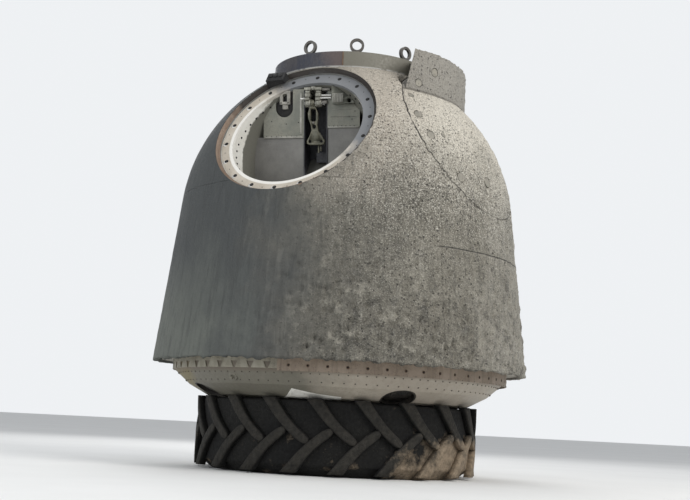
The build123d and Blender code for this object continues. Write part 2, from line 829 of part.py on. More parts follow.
# Base frame: the flat ring that the hull stands on
with BuildPart() as base_frame:
    with BuildSketch(section()):
        with BuildLine():
            Polyline(
                (dish_rim_r - frame_reach, frame_low_z),
                (cone_r(frame_low_z, shield_wall + fit_gap), frame_low_z),
                (cone_r(frame_top_z, shield_wall + fit_gap), frame_top_z),
                (dish_rim_r - frame_reach, frame_top_z),
                close=True,
            )
        make_face()
    revolve(axis=Axis.Z)
finish(base_frame, "base_frame")

# Cabin floor on the base frame
floor_r = cone_r(frame_top_z + floor_thick, hull_in) - fit_gap
with BuildPart() as cabin_floor:
    with BuildSketch(Plane.XY.offset(frame_top_z)):
        Circle(floor_r)
    extrude(amount=floor_thick)
finish(cabin_floor, "cabin_floor")

# Bottom dish: a riveted bowl whose crown hangs into the tyre, with the landing engines' ports
port_at_r = dish_rim_r - port_inset
port_slope = degrees(atan2(dish_line[3][1] - dish_line[2][1], dish_line[2][0] - dish_line[3][0]))
port_planes = []
for number in range(port_count):
    az = port_az + 360.0 / port_count * number
    spot = radial(az) * port_at_r
    way = radial(az) * sin(radians(port_slope)) - Vector(0, 0, cos(radians(port_slope)))
    port_planes.append(
        Plane(origin=Vector(spot.X, spot.Y, rim_z - dish_drop(port_at_r)), x_dir=tangent(az), z_dir=way)
    )


def dish_face(top_z, inner_x, inset):
    """Section of the dish's full form, drawn in from a top edge and an inner edge by an inset."""
    edge_r = dish_line[-1][0]
    foot = (inner_x, rim_z - dish_drop(abs(inner_x)))
    with BuildSketch(section()) as face:
        with BuildLine():
            Polyline((inner_x, top_z), (dish_rim_r, top_z), *[(r, rim_z - drop) for r, drop in dish_line])
            ThreePointArc(
                (edge_r, rim_z - dish_drop(edge_r)),
                (edge_r / 2, rim_z - dish_drop(edge_r / 2)),
                foot,
            )
            Line(foot, (inner_x, top_z))
        make_face()
        if inset:
            offset(amount=-inset, kind=Kind.INTERSECTION, mode=Mode.REPLACE)
    return face.sketch


with BuildPart() as dish_form:
    revolve(dish_face(frame_low_z, 0.0, 0.0), axis=Axis.Z)
with BuildPart() as dish_inside:
    revolve(dish_face(frame_low_z + dish_wall, -dish_wall, dish_wall), axis=Axis.Z)
with BuildPart() as base_dish:
    add(dish_form.part)
    add(dish_inside.part, mode=Mode.SUBTRACT)
    with BuildSketch(*[plane.offset(-port_depth) for plane in port_planes]):
        Circle(port_r + fit_gap)
    extrude(amount=2 * port_depth, mode=Mode.SUBTRACT)
finish(base_dish, "base_dish")

with BuildPart() as engine_ports:
    with BuildSketch(*[plane.offset(-port_depth) for plane in port_planes]):
        Circle(port_r)
    extrude(amount=2 * port_depth)
    with BuildSketch(*[plane.offset(-port_depth + port_wall) for plane in port_planes]):
        Circle(port_r - port_wall)
    extrude(amount=2 * port_depth, mode=Mode.SUBTRACT)
    add(dish_form.part, mode=Mode.INTERSECT)
finish(engine_ports, "engine_ports")

# Base flange with its tabs, and the holed band that still covers most of it
with BuildPart() as base_flange:
    with BuildSketch(Plane.XY.offset(rim_z - tab_height)):
        Circle(dish_rim_r + fit_gap + flange_wall)
        Circle(dish_rim_r + fit_gap, mode=Mode.SUBTRACT)
    extrude(amount=tab_height + frame_inset)
    pitch = 360.0 / tab_count
    bare_tabs = int((360.0 - band_sweep) / pitch)
    slot_planes = []
    for number in range(bare_tabs):
        az = band_start_az - pitch * (number + 0.6)
        foot = radial(az) * (dish_rim_r - 10.0)
        slot_planes.append(
            Plane(origin=Vector(foot.X, foot.Y, rim_z - tab_height), x_dir=tangent(az), z_dir=radial(az))
        )
    with BuildSketch(*slot_planes):
        with BuildLine():
            Polyline(
                (-tab_slot_low / 2, -1.0),
                (tab_slot_low / 2, -1.0),
                (tab_slot_high / 2, tab_height - tab_root),
                (-tab_slot_high / 2, tab_height - tab_root),
                close=True,
            )
        make_face()
    extrude(amount=30.0, mode=Mode.SUBTRACT)
finish(base_flange, "base_flange")

with BuildPart() as flange_band:
    band_in = dish_rim_r + 2 * fit_gap + flange_wall
    with BuildSketch(section(band_start_az)):
        with Locations((band_in, rim_z - band_height)):
            Rectangle(band_wall, band_height + frame_inset, align=(Align.MIN, Align.MIN))
    revolve(axis=Axis.Z, revolution_arc=band_sweep)
finish(flange_band, "flange_band")

# Windows: a deep tube with a lip, and a thick pane
for side, az in zip(("left", "right"), window_azimuths):
    with BuildPart() as window_frame:
        with BuildSketch(facing(az, window_el, ball_r - window_lip - window_tube)):
            Circle(window_r)
        extrude(amount=window_tube)
        with BuildSketch(facing(az, window_el, ball_r - window_lip - window_tube)):
            Circle(window_pane_r + fit_gap)
        extrude(amount=window_tube, mode=Mode.SUBTRACT)
    finish(window_frame, f"window_frame_{side}")
    with BuildPart() as window_pane:
        with BuildSketch(facing(az, window_el, ball_r - pane_recess - window_pane_thick)):
            Circle(window_pane_r)
        extrude(amount=window_pane_thick)
    finish(window_pane, f"window_pane_{side}")

# Fittings in the side shield, opposite the containers: periscope port, thrusters, umbilical plate


def on_cone(az, above_rim, depth=0.0):
    """Plane square to the cone at an azimuth and a height above the rim."""
    z = rim_z + above_rim
    out = radial(az) * cone_r(z)
    way = radial(az) * cos(radians(cone_angle)) + Vector(0, 0, sin(radians(cone_angle)))
    return Plane(origin=Vector(out.X, out.Y, z) - way * depth, x_dir=tangent(az), z_dir=way)


thruster_places = (
    # azimuth, height above the rim
    (front_az + 150.0, 300.0),
    (front_az + 156.0, 300.0),
    (front_az - 156.0, 300.0),
    (front_az - 150.0, 300.0),
)
scope_az = front_az + 180.0
umbilical_az = front_az - 155.0
umbilical_above_rim = 560.0
with BuildPart() as shield_holes:
    with BuildSketch(*[on_cone(az, up, shield_wall - fit_gap) for az, up in thruster_places]):
        Circle(nozzle_r + fit_gap)
    extrude(amount=2 * shield_wall)
    with BuildSketch(on_cone(scope_az, scope_above_rim, 2 * shield_wall)):
        Circle(scope_r + fit_gap)
    extrude(amount=4 * shield_wall)
    with BuildSketch(on_cone(umbilical_az, umbilical_above_rim, 2 * shield_wall)):
        RectangleRounded(umbilical_width + 2 * fit_gap, umbilical_height + 2 * fit_gap, 20.0)
    extrude(amount=4 * shield_wall)
for name, panel in shield_panels.items():
    if name == "shield_front":
        with panel:
            add(shield_holes.part, mode=Mode.SUBTRACT)
    finish(panel, name)

with BuildPart() as scope_housing:
    with BuildSketch(on_cone(scope_az, scope_above_rim, shield_wall - fit_gap - 8.0)):
        Circle(scope_r)
        Circle(scope_r - 25.0, mode=Mode.SUBTRACT)
    extrude(amount=shield_wall - 6.0)
finish(scope_housing, "scope_housing")

with BuildPart() as scope_glass:
    with BuildSketch(on_cone(scope_az, scope_above_rim, shield_wall - fit_gap - 8.0)):
        Circle(scope_r - 25.0 - fit_gap)
    extrude(amount=12.0)
finish(scope_glass, "scope_glass")

with BuildPart() as thruster_nozzles:
    with BuildSketch(*[on_cone(az, up, shield_wall - 2.0) for az, up in thruster_places]):
        Circle(nozzle_r)
    extrude(amount=shield_wall - 6.0)
    with BuildSketch(*[on_cone(az, up, shield_wall - 8.0) for az, up in thruster_places]):
        Circle(nozzle_r - 6.0)
    extrude(amount=shield_wall, mode=Mode.SUBTRACT)
finish(thruster_nozzles, "thruster_nozzles")

with BuildPart() as hull_form:
    hull_face = side_face(rim_z, seam_z, umbilical_az - 20.0, shield_wall + fit_gap, 4 * shield_wall)
    revolve(hull_face, axis=Axis.Z, revolution_arc=40.0)
with BuildPart() as umbilical_plate:
    with BuildSketch(on_cone(umbilical_az, umbilical_above_rim, 2 * shield_wall)):
        RectangleRounded(umbilical_width, umbilical_height, 20.0)
    extrude(amount=2 * shield_wall - 6.0)
    add(hull_form.part, mode=Mode.SUBTRACT)
finish(umbilical_plate, "umbilical_plate")

# Tyre: an open carcass whose upper side follows the dish, with two rows of lugs
seat_in_r = seat_out_r - seat_reach
seat_radii = [seat_out_r, *[r for r, _ in dish_line if seat_in_r < r < seat_out_r], seat_in_r]
free_radii = [*[r for r, _ in dish_line if tyre_bead_r < r < seat_in_r], tyre_bead_r]
bead_high_z = rim_z - dish_drop(tyre_bead_r) - bead_clear


def under_dish(r):
    """Height of the carcass inside its seat, which falls away from the dish towards the bead."""
    return rim_z - dish_drop(r) - fit_gap - (bead_clear - fit_gap) * (seat_in_r - r) / (seat_in_r - tyre_bead_r)


carcass_out = (
    # radius, height
    (tyre_bead_r, bead_low_z),
    (tread_r - tyre_foot_in, 0.0),
    (tread_r - tyre_foot_out, 0.0),
    (tread_r, tread_chamfer),
    (tread_r, tyre_seat_z - shoulder_drop),
    *[(r, rim_z - dish_drop(r) - fit_gap) for r in seat_radii],
    *[(r, under_dish(r)) for r in free_radii],
)
carcass_in = (
    # radius, height
    (tyre_bead_r, bead_high_z - bead_wall),
    (tread_r - tyre_wall, tyre_seat_z - 1.3 * tyre_wall),
    (tread_r - tyre_wall, tread_chamfer + tyre_wall / 3),
    (tread_r - tyre_foot_out - tyre_wall / 3, tyre_wall),
    (tyre_bead_r, bead_low_z + bead_wall),
)
tyre_mid_z = (lug_low_z + tyre_seat_z) / 2
lug_line = (
    # along the tread from the lug's middle, height above the tyre's middle, half-width
    (-112.0, 235.0, 31.0),
    (82.0, 8.0, 25.0),
    (108.0, -16.0, 14.0),
)


def lug_outline(up):
    """Outline of a lug that leans along the tread; up is 1 in the upper row and -1 in the lower."""
    sides = ([], [])
    for number, (along, rise, half) in enumerate(lug_line):
        near = lug_line[max(number - 1, 0)]
        far = lug_line[min(number + 1, len(lug_line) - 1)]
        way = Vector(far[0] - near[0], far[1] - near[1]).normalized()
        sides[0].append((along - way.Y * half, up * (rise + way.X * half)))
        sides[1].append((along + way.Y * half, up * (rise - way.X * half)))
    return sides[0] + sides[1][::-1]


lug_root_r = tread_r - tyre_wall / 2
lug_reach_r = tread_r + 1.4 * lug_height
lug_top_z = tyre_seat_z + lug_rise
with BuildPart() as lugs:
    for up, shift in ((1, 0.0), (-1, 0.5)):
        lug_planes = []
        for number in range(lug_count):
            az = 360.0 / lug_count * (number + shift)
            foot = radial(az) * lug_root_r
            lug_planes.append(
                Plane(origin=Vector(foot.X, foot.Y, tyre_mid_z), x_dir=tangent(az), z_dir=radial(az))
            )
        with BuildSketch(*lug_planes):
            with BuildLine():
                Polyline(*lug_outline(up), close=True)
            make_face()
        extrude(amount=lug_height + tyre_wall / 2)
    with BuildSketch(section()):
        with BuildLine():
            Polyline(
                (lug_root_r, lug_low_z),
                (lug_reach_r, lug_low_z),
                (lug_reach_r, lug_top_z),
                (lug_root_r, lug_top_z),
                close=True,
            )
        make_face()
    revolve(axis=Axis.Z, mode=Mode.INTERSECT)
with BuildPart() as tyre:
    with BuildSketch(section()):
        with BuildLine():
            Polyline(*carcass_out, *carcass_in, close=True)
        make_face()
    revolve(axis=Axis.Z)
    add(lugs.part)
finish(tyre, "tyre")

# Crew couches, seen through the windows and the hatch
couch_line = (
    # along the couch, height above the cabin floor
    (-420.0, 60.0),
    (-380.0, 20.0),
    (160.0, 20.0),
    (330.0, 210.0),
    (300.0, 232.0),
    (140.0, 60.0),
    (-370.0, 60.0),
    (-405.0, 100.0),
)
couch_floor_z = frame_top_z + floor_thick + fit_gap - 20.0
couch_width = 360.0
couch_az = front_az + 90.0
for name, place in (("couch_left", -1), ("couch_centre", 0), ("couch_right", 1)):
    spot = radial(couch_az) * 60.0 + tangent(couch_az) * (place * 450.0)
    turn = -13.0 * place
    couch_plane = Plane(
        origin=Vector(spot.X, spot.Y, couch_floor_z),
        x_dir=radial(couch_az + turn),
        z_dir=-tangent(couch_az + turn),
    )
    with BuildPart() as couch:
        with BuildSketch(couch_plane.offset(-couch_width / 2)):
            with BuildLine():
                Polyline(*couch_line, close=True)
            make_face()
        extrude(amount=couch_width)
    finish(couch, name)
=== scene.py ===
"""A landed descent capsule that stands on a tractor tyre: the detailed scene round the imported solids.

Metres, +Z up, origin on the ground under the capsule's axis. An azimuth runs from -Y towards +X.
"""

from math import asin, atan2, cos, pi, radians, sin, sqrt, tan

import bmesh
import bpy
from mathutils import Matrix, Vector, noise


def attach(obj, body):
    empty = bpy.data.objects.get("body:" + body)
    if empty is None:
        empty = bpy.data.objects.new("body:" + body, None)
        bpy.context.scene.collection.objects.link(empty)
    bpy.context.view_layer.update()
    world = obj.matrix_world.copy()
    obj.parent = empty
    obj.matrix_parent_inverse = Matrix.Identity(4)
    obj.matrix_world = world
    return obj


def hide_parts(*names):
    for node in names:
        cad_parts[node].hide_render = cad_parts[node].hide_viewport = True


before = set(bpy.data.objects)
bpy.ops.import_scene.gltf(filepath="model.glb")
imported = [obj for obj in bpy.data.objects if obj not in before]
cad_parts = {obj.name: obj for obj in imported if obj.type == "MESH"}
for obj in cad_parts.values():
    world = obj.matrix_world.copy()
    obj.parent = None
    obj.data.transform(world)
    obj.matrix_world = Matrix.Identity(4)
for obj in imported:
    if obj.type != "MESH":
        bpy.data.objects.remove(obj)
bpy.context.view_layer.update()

# The camera stands low in front of the capsule and looks up at it, a little turned about its own line
# of sight. The lens is the one that puts the ring, the seam and the tyre where the photograph has them.
camera_data = bpy.data.cameras.new("camera")
camera_data.lens = 62.27
camera_data.sensor_width = 36.0
camera = bpy.data.objects.new("camera", camera_data)
camera.matrix_world = (
    Matrix.Translation((0.0, -6.999, 0.268))
    @ Matrix.Rotation(radians(98.36), 4, "X")
    @ Matrix.Rotation(radians(2.86), 4, "Z")
)
bpy.context.scene.collection.objects.link(camera)
bpy.context.scene.camera = camera
bpy.context.scene.view_settings.view_transform = "Standard"


def put(tree, kind, sockets=None, **options):
    """Adds a node: options are its own settings, sockets its inputs, each a value or an output to link."""
    node = tree.nodes.new(kind)
    for option, value in options.items():
        setattr(node, option, value)
    for key, value in (sockets or {}).items():
        if isinstance(value, bpy.types.NodeSocket):
            tree.links.new(value, node.inputs[key])
        else:
            node.inputs[key].default_value = value
    return node


# The studio: soft lamps from the upper right, the left and behind, and an even pale surround. The world
# looks white to the camera and in reflections, and lights the object less than that.
for name, place, size, power, glow in (
    ("lamp_key", (4.2, -4.6, 5.2), 3.5, 330.0, (1.0, 0.98, 0.95)),
    ("lamp_fill", (-5.0, -4.0, 2.6), 4.0, 120.0, (0.95, 0.98, 1.0)),
    ("lamp_back", (-1.0, 5.5, 5.0), 4.0, 180.0, (1.0, 1.0, 1.0)),
):
    lamp_data = bpy.data.lights.new(name, "AREA")
    lamp_data.size = size
    lamp_data.energy = power
    lamp_data.color = glow
    lamp = bpy.data.objects.new(name, lamp_data)
    lamp.matrix_world = Matrix.Translation(place) @ (
        (Vector((0.0, 0.0, 1.2)) - Vector(place)).to_track_quat("-Z", "Y").to_matrix().to_4x4()
    )
    bpy.context.scene.collection.objects.link(lamp)

world = bpy.data.worlds.new("surround")
world.use_nodes = True
bpy.context.scene.world = world
surround = world.node_tree
surround.nodes.clear()
path = put(surround, "ShaderNodeLightPath")
seen = put(surround, "ShaderNodeMath", {0: path.outputs["Is Camera Ray"], 1: path.outputs["Is Glossy Ray"]},
           operation="MAXIMUM")
seen = put(surround, "ShaderNodeMath", {0: seen.outputs[0], 1: path.outputs["Is Transmission Ray"]},
           operation="MAXIMUM")
lit = put(surround, "ShaderNodeBackground", {"Color": (0.93, 0.96, 1.0, 1.0), "Strength": 0.55})
shown = put(surround, "ShaderNodeBackground", {"Color": (0.86, 0.88, 0.9, 1.0), "Strength": 1.0})
both = put(surround, "ShaderNodeMixShader", {0: seen.outputs[0], 1: lit.outputs[0], 2: shown.outputs[0]})
put(surround, "ShaderNodeOutputWorld", {"Surface": both.outputs[0]})


def start_group(name, inputs, outputs):
    """Starts a shader node group; inputs and outputs are rows of name, socket kind and first value."""
    group = bpy.data.node_groups.new(name, "ShaderNodeTree")
    for label, kind, value in inputs:
        item = group.interface.new_socket(name=label, in_out="INPUT", socket_type=kind)
        if value is not None:
            item.default_value = value
    for label, kind in outputs:
        group.interface.new_socket(name=label, in_out="OUTPUT", socket_type=kind)
    return group, group.nodes.new("NodeGroupInput"), group.nodes.new("NodeGroupOutput")


def mix_colour(tree, factor, first, second, mode="MIX"):
    """Colour that goes from the first to the second as the factor rises."""
    sockets = {0: factor, 6: first, 7: second}
    return put(tree, "ShaderNodeMix", sockets, data_type="RGBA", blend_type=mode).outputs[2]


def spread_value(tree, value, low, high, out_low=0.0, out_high=1.0):
    """Value that runs between two results as the input goes between two bounds."""
    sockets = {"Value": value, "From Min": low, "From Max": high, "To Min": out_low, "To Max": out_high}
    return put(tree, "ShaderNodeMapRange", sockets).outputs[0]


def combine(tree, operation, first, second):
    """Result of an arithmetic operation on two values."""
    return put(tree, "ShaderNodeMath", {0: first, 1: second}, operation=operation).outputs[0]


def multiply(tree, first, *others):
    """Product of two or more values."""
    for other in others:
        first = combine(tree, "MULTIPLY", first, other)
    return first


COLOUR, VALUE, VECTOR = "NodeSocketColor", "NodeSocketFloat", "NodeSocketVector"

# Wear that every surface shares: broad patches, runs of dirt down the side, and small specks
weather, source, result = start_group(
    "weather",
    (
        ("Vector", VECTOR, None),
        ("Colour", COLOUR, (0.5, 0.5, 0.5, 1.0)),
        ("Patch Colour", COLOUR, (0.4, 0.4, 0.4, 1.0)),
        ("Dirt Colour", COLOUR, (0.1, 0.09, 0.08, 1.0)),
        ("Patch Scale", VALUE, 6.0),
        ("Runs", VALUE, 0.3),
        ("Specks", VALUE, 0.3),
        ("Speck Scale", VALUE, 90.0),
        ("Rough Low", VALUE, 0.4),
        ("Rough High", VALUE, 0.7),
    ),
    (("Colour", COLOUR), ("Roughness", VALUE), ("Height", VALUE)),
)
patches = put(weather, "ShaderNodeTexNoise", {
    "Vector": source.outputs["Vector"], "Scale": source.outputs["Patch Scale"], "Detail": 6.0,
    "Roughness": 0.6,
}).outputs[0]
patch = spread_value(weather, patches, 0.36, 0.64)
drawn = put(weather, "ShaderNodeMapping", {"Vector": source.outputs["Vector"], "Scale": (1.0, 1.0, 0.08)})
run_noise = put(weather, "ShaderNodeTexNoise", {
    "Vector": drawn.outputs[0], "Scale": 34.0, "Detail": 5.0, "Roughness": 0.65, "Distortion": 0.4,
}).outputs[0]
run = multiply(weather, spread_value(weather, run_noise, 0.48, 0.72), source.outputs["Runs"])
cells = put(weather, "ShaderNodeTexVoronoi", {
    "Vector": source.outputs["Vector"], "Scale": source.outputs["Speck Scale"], "Randomness": 1.0,
})
grains = put(weather, "ShaderNodeTexNoise", {
    "Vector": source.outputs["Vector"], "Scale": source.outputs["Speck Scale"], "Detail": 3.0,
}).outputs[0]
speck = spread_value(weather, cells.outputs["Distance"], 0.16, 0.34, 1.0, 0.0)
speck = multiply(weather, speck, spread_value(weather, patches, 0.42, 0.55))
speck = multiply(weather, speck, source.outputs["Specks"])
colour = mix_colour(weather, patch, source.outputs["Colour"], source.outputs["Patch Colour"])
colour = mix_colour(weather, run, colour, source.outputs["Dirt Colour"])
colour = mix_colour(weather, speck, colour, source.outputs["Dirt Colour"])
weather.links.new(colour, result.inputs["Colour"])
rough = put(weather, "ShaderNodeMix", {
    0: spread_value(weather, grains, 0.3, 0.7),
    2: source.outputs["Rough Low"],
    3: source.outputs["Rough High"],
}).outputs[0]
weather.links.new(rough, result.inputs["Roughness"])
height = combine(weather, "SUBTRACT", grains, multiply(weather, speck, 2.0))
weather.links.new(height, result.inputs["Height"])


def finish(name, colour, patch, dirt, metal=0.0, rough=(0.45, 0.7), scale=6.0, runs=0.25, specks=0.25,
           speck_scale=90.0, bump=0.0006):
    """Material of a painted, bare or rubber surface, worn by the weather group."""
    material = bpy.data.materials.new(name)
    material.use_nodes = True
    tree = material.node_tree
    shader = tree.nodes["Principled BSDF"]
    shader.inputs["Metallic"].default_value = metal
    place = put(tree, "ShaderNodeTexCoord")
    worn = put(tree, "ShaderNodeGroup", node_tree=weather)
    tree.links.new(place.outputs["Object"], worn.inputs["Vector"])
    for key, value in (
        ("Colour", (*colour, 1.0)), ("Patch Colour", (*patch, 1.0)), ("Dirt Colour", (*dirt, 1.0)),
        ("Patch Scale", scale), ("Runs", runs), ("Specks", specks), ("Speck Scale", speck_scale),
        ("Rough Low", rough[0]), ("Rough High", rough[1]),
    ):
        worn.inputs[key].default_value = value
    relief = put(tree, "ShaderNodeBump", {
        "Strength": 1.0, "Distance": bump, "Height": worn.outputs["Height"],
    })
    tree.links.new(worn.outputs["Colour"], shader.inputs["Base Color"])
    tree.links.new(worn.outputs["Roughness"], shader.inputs["Roughness"])
    tree.links.new(relief.outputs[0], shader.inputs["Normal"])
    return material


def tint(material, mask, colour):
    """Lays a colour over a material's own where a mask of its tree is high."""
    tree = material.node_tree
    base = tree.nodes["Principled BSDF"].inputs["Base Color"]
    tree.links.new(mix_colour(tree, mask, base.links[0].from_socket, (*colour, 1.0)), base)


def coordinates(tree):
    """Object coordinates of a material's tree, whole and as three values."""
    place = put(tree, "ShaderNodeTexCoord").outputs["Object"]
    axes = put(tree, "ShaderNodeSeparateXYZ", {0: place})
    return place, axes.outputs["X"], axes.outputs["Y"], axes.outputs["Z"]


def level_reach(tree, x, y):
    """Distance from the capsule's axis."""
    square = combine(tree, "ADD", combine(tree, "POWER", x, 2.0), combine(tree, "POWER", y, 2.0))
    return combine(tree, "POWER", square, 0.5)


def noise_at(tree, place, scale, detail=5.0, roughness=0.6):
    """Value of a noise at a place."""
    return put(tree, "ShaderNodeTexNoise", {
        "Vector": place, "Scale": scale, "Detail": detail, "Roughness": roughness,
    }).outputs[0]


def waver(tree, value, noise_value, amount=1.0):
    """Value that a noise moves up and down by up to half the amount."""
    return combine(tree, "ADD", value, multiply(tree, combine(tree, "SUBTRACT", noise_value, 0.5), amount))


floor_finish = finish("studio_floor", (0.78, 0.78, 0.77), (0.74, 0.74, 0.73), (0.6, 0.6, 0.58),
                      rough=(0.8, 0.9), scale=0.8, runs=0.0, specks=0.0, bump=0.0002)
floor_form = bmesh.new()
bmesh.ops.create_circle(floor_form, cap_ends=True, segments=96, radius=90.0)
floor_mesh = bpy.data.meshes.new("studio_floor")
floor_form.to_mesh(floor_mesh)
floor_form.free()
floor_mesh.materials.append(floor_finish)
floor = bpy.data.objects.new("studio_floor", floor_mesh)
bpy.context.scene.collection.objects.link(floor)


# Tractor tyre: a moulded rubber carcass with two rows of slanted lugs, worn and dusty. It lies flat as
# the capsule's cradle, with dry mud low down on the right.
def radial(az):
    """Level unit vector that points outwards at an azimuth."""
    return Vector((sin(radians(az)), -cos(radians(az)), 0.0))


def tangent(az):
    """Level unit vector along increasing azimuth."""
    return Vector((cos(radians(az)), sin(radians(az)), 0.0))


def spot_at(az, reach, z):
    """Point at an azimuth, a distance from the capsule's axis and a height."""
    return radial(az) * reach + Vector((0.0, 0.0, z))


def make_piece(name, form, material):
    """Turns a finished bmesh into a smooth piece that rides on the capsule."""
    mesh = bpy.data.meshes.new(name)
    form.to_mesh(mesh)
    form.free()
    mesh.materials.append(material)
    mesh.shade_smooth()
    piece = bpy.data.objects.new(name, mesh)
    bpy.context.scene.collection.objects.link(piece)
    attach(piece, "capsule")
    return piece


def turn_round(form, sweep, steps):
    """Turns all that a form holds about the Z axis, and closes the seam of a full turn."""
    bmesh.ops.spin(form, geom=form.verts[:] + form.edges[:] + form.faces[:], cent=(0, 0, 0), axis=(0, 0, 1),
                   dvec=(0, 0, 0), angle=radians(sweep), steps=steps, use_merge=sweep >= 360.0)
    bmesh.ops.remove_doubles(form, verts=form.verts[:], dist=1e-5)
    bmesh.ops.recalc_face_normals(form, faces=form.faces[:])


def spin_section(points, steps, start_az=0.0, sweep=360.0, round_by=0.0):
    """Closed section of (radius, height) corners, rounded and turned about the capsule's axis."""
    form = bmesh.new()
    corners = [form.verts.new(spot_at(start_az, r, z)) for r, z in points]
    form.faces.new(corners)
    if round_by:
        bmesh.ops.bevel(form, geom=corners, offset=round_by, segments=2, profile=0.5, affect="VERTICES",
                        material=-1)
    if sweep >= 360.0:
        bmesh.ops.delete(form, geom=form.faces[:], context="FACES_ONLY")
    turn_round(form, sweep, steps)
    return form


tread_r = 0.772
lug_height = 0.034
lug_count = 20
lug_sunk = 0.006
tyre_mid_z = 0.2067
lug_top_z = 0.398
tyre_form = spin_section((
    (0.483, 0.095), (0.655, 0.0), (0.705, 0.0), (tread_r, 0.055), (tread_r, 0.3834), (0.690, 0.3934),
    (0.6701, 0.3897), (0.605, 0.3700), (0.483, 0.326), (0.483, 0.296), (0.744, 0.357), (0.744, 0.064),
    (0.696, 0.028), (0.483, 0.125),
), steps=120, round_by=0.008)

# One lug is a strip of stations along its length: distance along the tread, height, half-width
lug_stations = (
    (-0.128, 0.218, 0.034), (-0.104, 0.178, 0.033), (-0.070, 0.130, 0.030), (-0.034, 0.086, 0.0275),
    (0.004, 0.046, 0.0255), (0.040, 0.014, 0.025), (0.068, -0.008, 0.0245), (0.090, -0.024, 0.020),
    (0.102, -0.033, 0.012),
)
for up, shift in ((1.0, 0.0), (-1.0, 0.5)):
    for number in range(lug_count):
        turn = 2.0 * pi / lug_count * (number + shift)
        rows = []
        for index, (along, rise, half) in enumerate(lug_stations):
            before = lug_stations[max(index - 1, 0)]
            after = lug_stations[min(index + 1, len(lug_stations) - 1)]
            way = Vector((after[0] - before[0], after[1] - before[1])).normalized()
            rows.append([
                tyre_form.verts.new((along + side * way.y * half, rise - side * way.x * half, 0.0))
                for side in (-1.0, 1.0)
            ])
        strip = [
            tyre_form.faces.new((one[0], one[1], two[1], two[0])) for one, two in zip(rows, rows[1:])
        ]
        raised = bmesh.ops.extrude_face_region(tyre_form, geom=strip)["geom"]
        top = [item for item in raised if isinstance(item, bmesh.types.BMVert)]
        edges = [
            item for item in raised
            if isinstance(item, bmesh.types.BMEdge) and sum(face in raised for face in item.link_faces) == 1
        ]
        bmesh.ops.translate(tyre_form, verts=top, vec=(0.0, 0.0, lug_height + lug_sunk))
        shaped = bmesh.ops.bevel(tyre_form, geom=edges, offset=0.009, segments=3, profile=0.5,
                                 affect="EDGES", material=-1)
        lug = set(vert for row in rows for vert in row) | set(shaped["verts"])
        lug |= {vert for face in strip if face.is_valid for vert in face.verts}
        stack = list(lug)
        while stack:
            for edge in stack.pop().link_edges:
                for vert in edge.verts:
                    if vert not in lug:
                        lug.add(vert)
                        stack.append(vert)
        for vert in lug:
            along, rise, out = vert.co
            height = min(max(tyre_mid_z + up * rise, 0.016), lug_top_z)
            reach = tread_r - lug_sunk + out
            angle = turn + along / tread_r
            vert.co = (reach * sin(angle), -reach * cos(angle), height)
bmesh.ops.recalc_face_normals(tyre_form, faces=tyre_form.faces[:])

tyre_rubber = finish("tyre_rubber", (0.005, 0.005, 0.005), (0.009, 0.0088, 0.008), (0.03, 0.027, 0.022),
                     rough=(0.75, 0.95), scale=5.0, runs=0.1, specks=0.35, speck_scale=70.0, bump=0.003)
tyre_rubber.node_tree.nodes["Principled BSDF"].inputs["Specular IOR Level"].default_value = 0.25
tree = tyre_rubber.node_tree
place, x, y, z = coordinates(tree)
reach = level_reach(tree, x, y)
clods = noise_at(tree, place, 9.0, 8.0, 0.65)
scuffs = noise_at(tree, place, 38.0, 6.0, 0.7)
# The lugs' faces are scuffed and dusty, and mud has dried low down on the right
lug_top = spread_value(tree, reach, 0.795, 0.806)
worn_top = multiply(tree, lug_top, spread_value(tree, scuffs, 0.32, 0.66, 0.25, 1.0))
tint(tyre_rubber, worn_top, (0.034, 0.031, 0.026))
low_down = spread_value(tree, z, 0.03, 0.30, 0.60, 0.0)
to_right = spread_value(tree, x, 0.2, 0.62)
mud = combine(tree, "ADD", clods, multiply(tree, low_down, combine(tree, "ADD", to_right, 0.12)))
crumbs = spread_value(tree, scuffs, 0.34, 0.60, 0.5, 1.0)
mud = multiply(tree, spread_value(tree, mud, 0.66, 0.86), crumbs)
tint(tyre_rubber, mud, (0.27, 0.212, 0.15))
tyre = make_piece("tyre_lugged", tyre_form, tyre_rubber)
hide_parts("tyre")


def dress(material, *names):
    """Gives CAD nodes a better material."""
    for name in names:
        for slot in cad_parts[name].material_slots:
            slot.material = material


# Bottom dish: an aluminium bowl in old white paint, riveted to its frames, with four landing engine
# ports. The heat shield that covered it has been dropped, so its rivets, stained patches and a bare tag
# show. Its left part is painted dark grey as shade.
dish_paint = finish("dish_paint", (0.37, 0.325, 0.265), (0.44, 0.395, 0.325), (0.10, 0.085, 0.062),
                    rough=(0.45, 0.65), scale=4.0, runs=0.2, specks=0.2, speck_scale=60.0, bump=0.0008)
tree = dish_paint.node_tree
place, x, y, z = coordinates(tree)
stain_and_shade_noise = noise_at(tree, place, 3.0, 6.0, 0.65)
# The dish's left part is painted dark grey as shade
shaded_left = waver(tree, spread_value(tree, x, -0.25, 0.15, 0.75, 0.0), stain_and_shade_noise)
tint(dish_paint, spread_value(tree, shaded_left, 0.2, 0.7, 0.0, 0.85), (0.13, 0.125, 0.098))
ochre = waver(tree, spread_value(tree, x, -0.86, -0.70, 1.0, 0.0), stain_and_shade_noise)
tint(dish_paint, spread_value(tree, ochre, 0.45, 0.75), (0.2, 0.165, 0.075))
# Just under the flange band the dish is painted darker brown as shade
shade_under_band = spread_value(tree, z, 0.518, 0.532, 0.0, 0.55)
tint(dish_paint, shade_under_band, (0.14, 0.105, 0.075))
port_metal = finish("port_metal", (0.03, 0.028, 0.025), (0.08, 0.072, 0.06), (0.012, 0.011, 0.01), metal=0.4,
                    rough=(0.45, 0.75), scale=12.0, bump=0.0006)
dress(dish_paint, "base_dish")
dress(port_metal, "engine_ports")

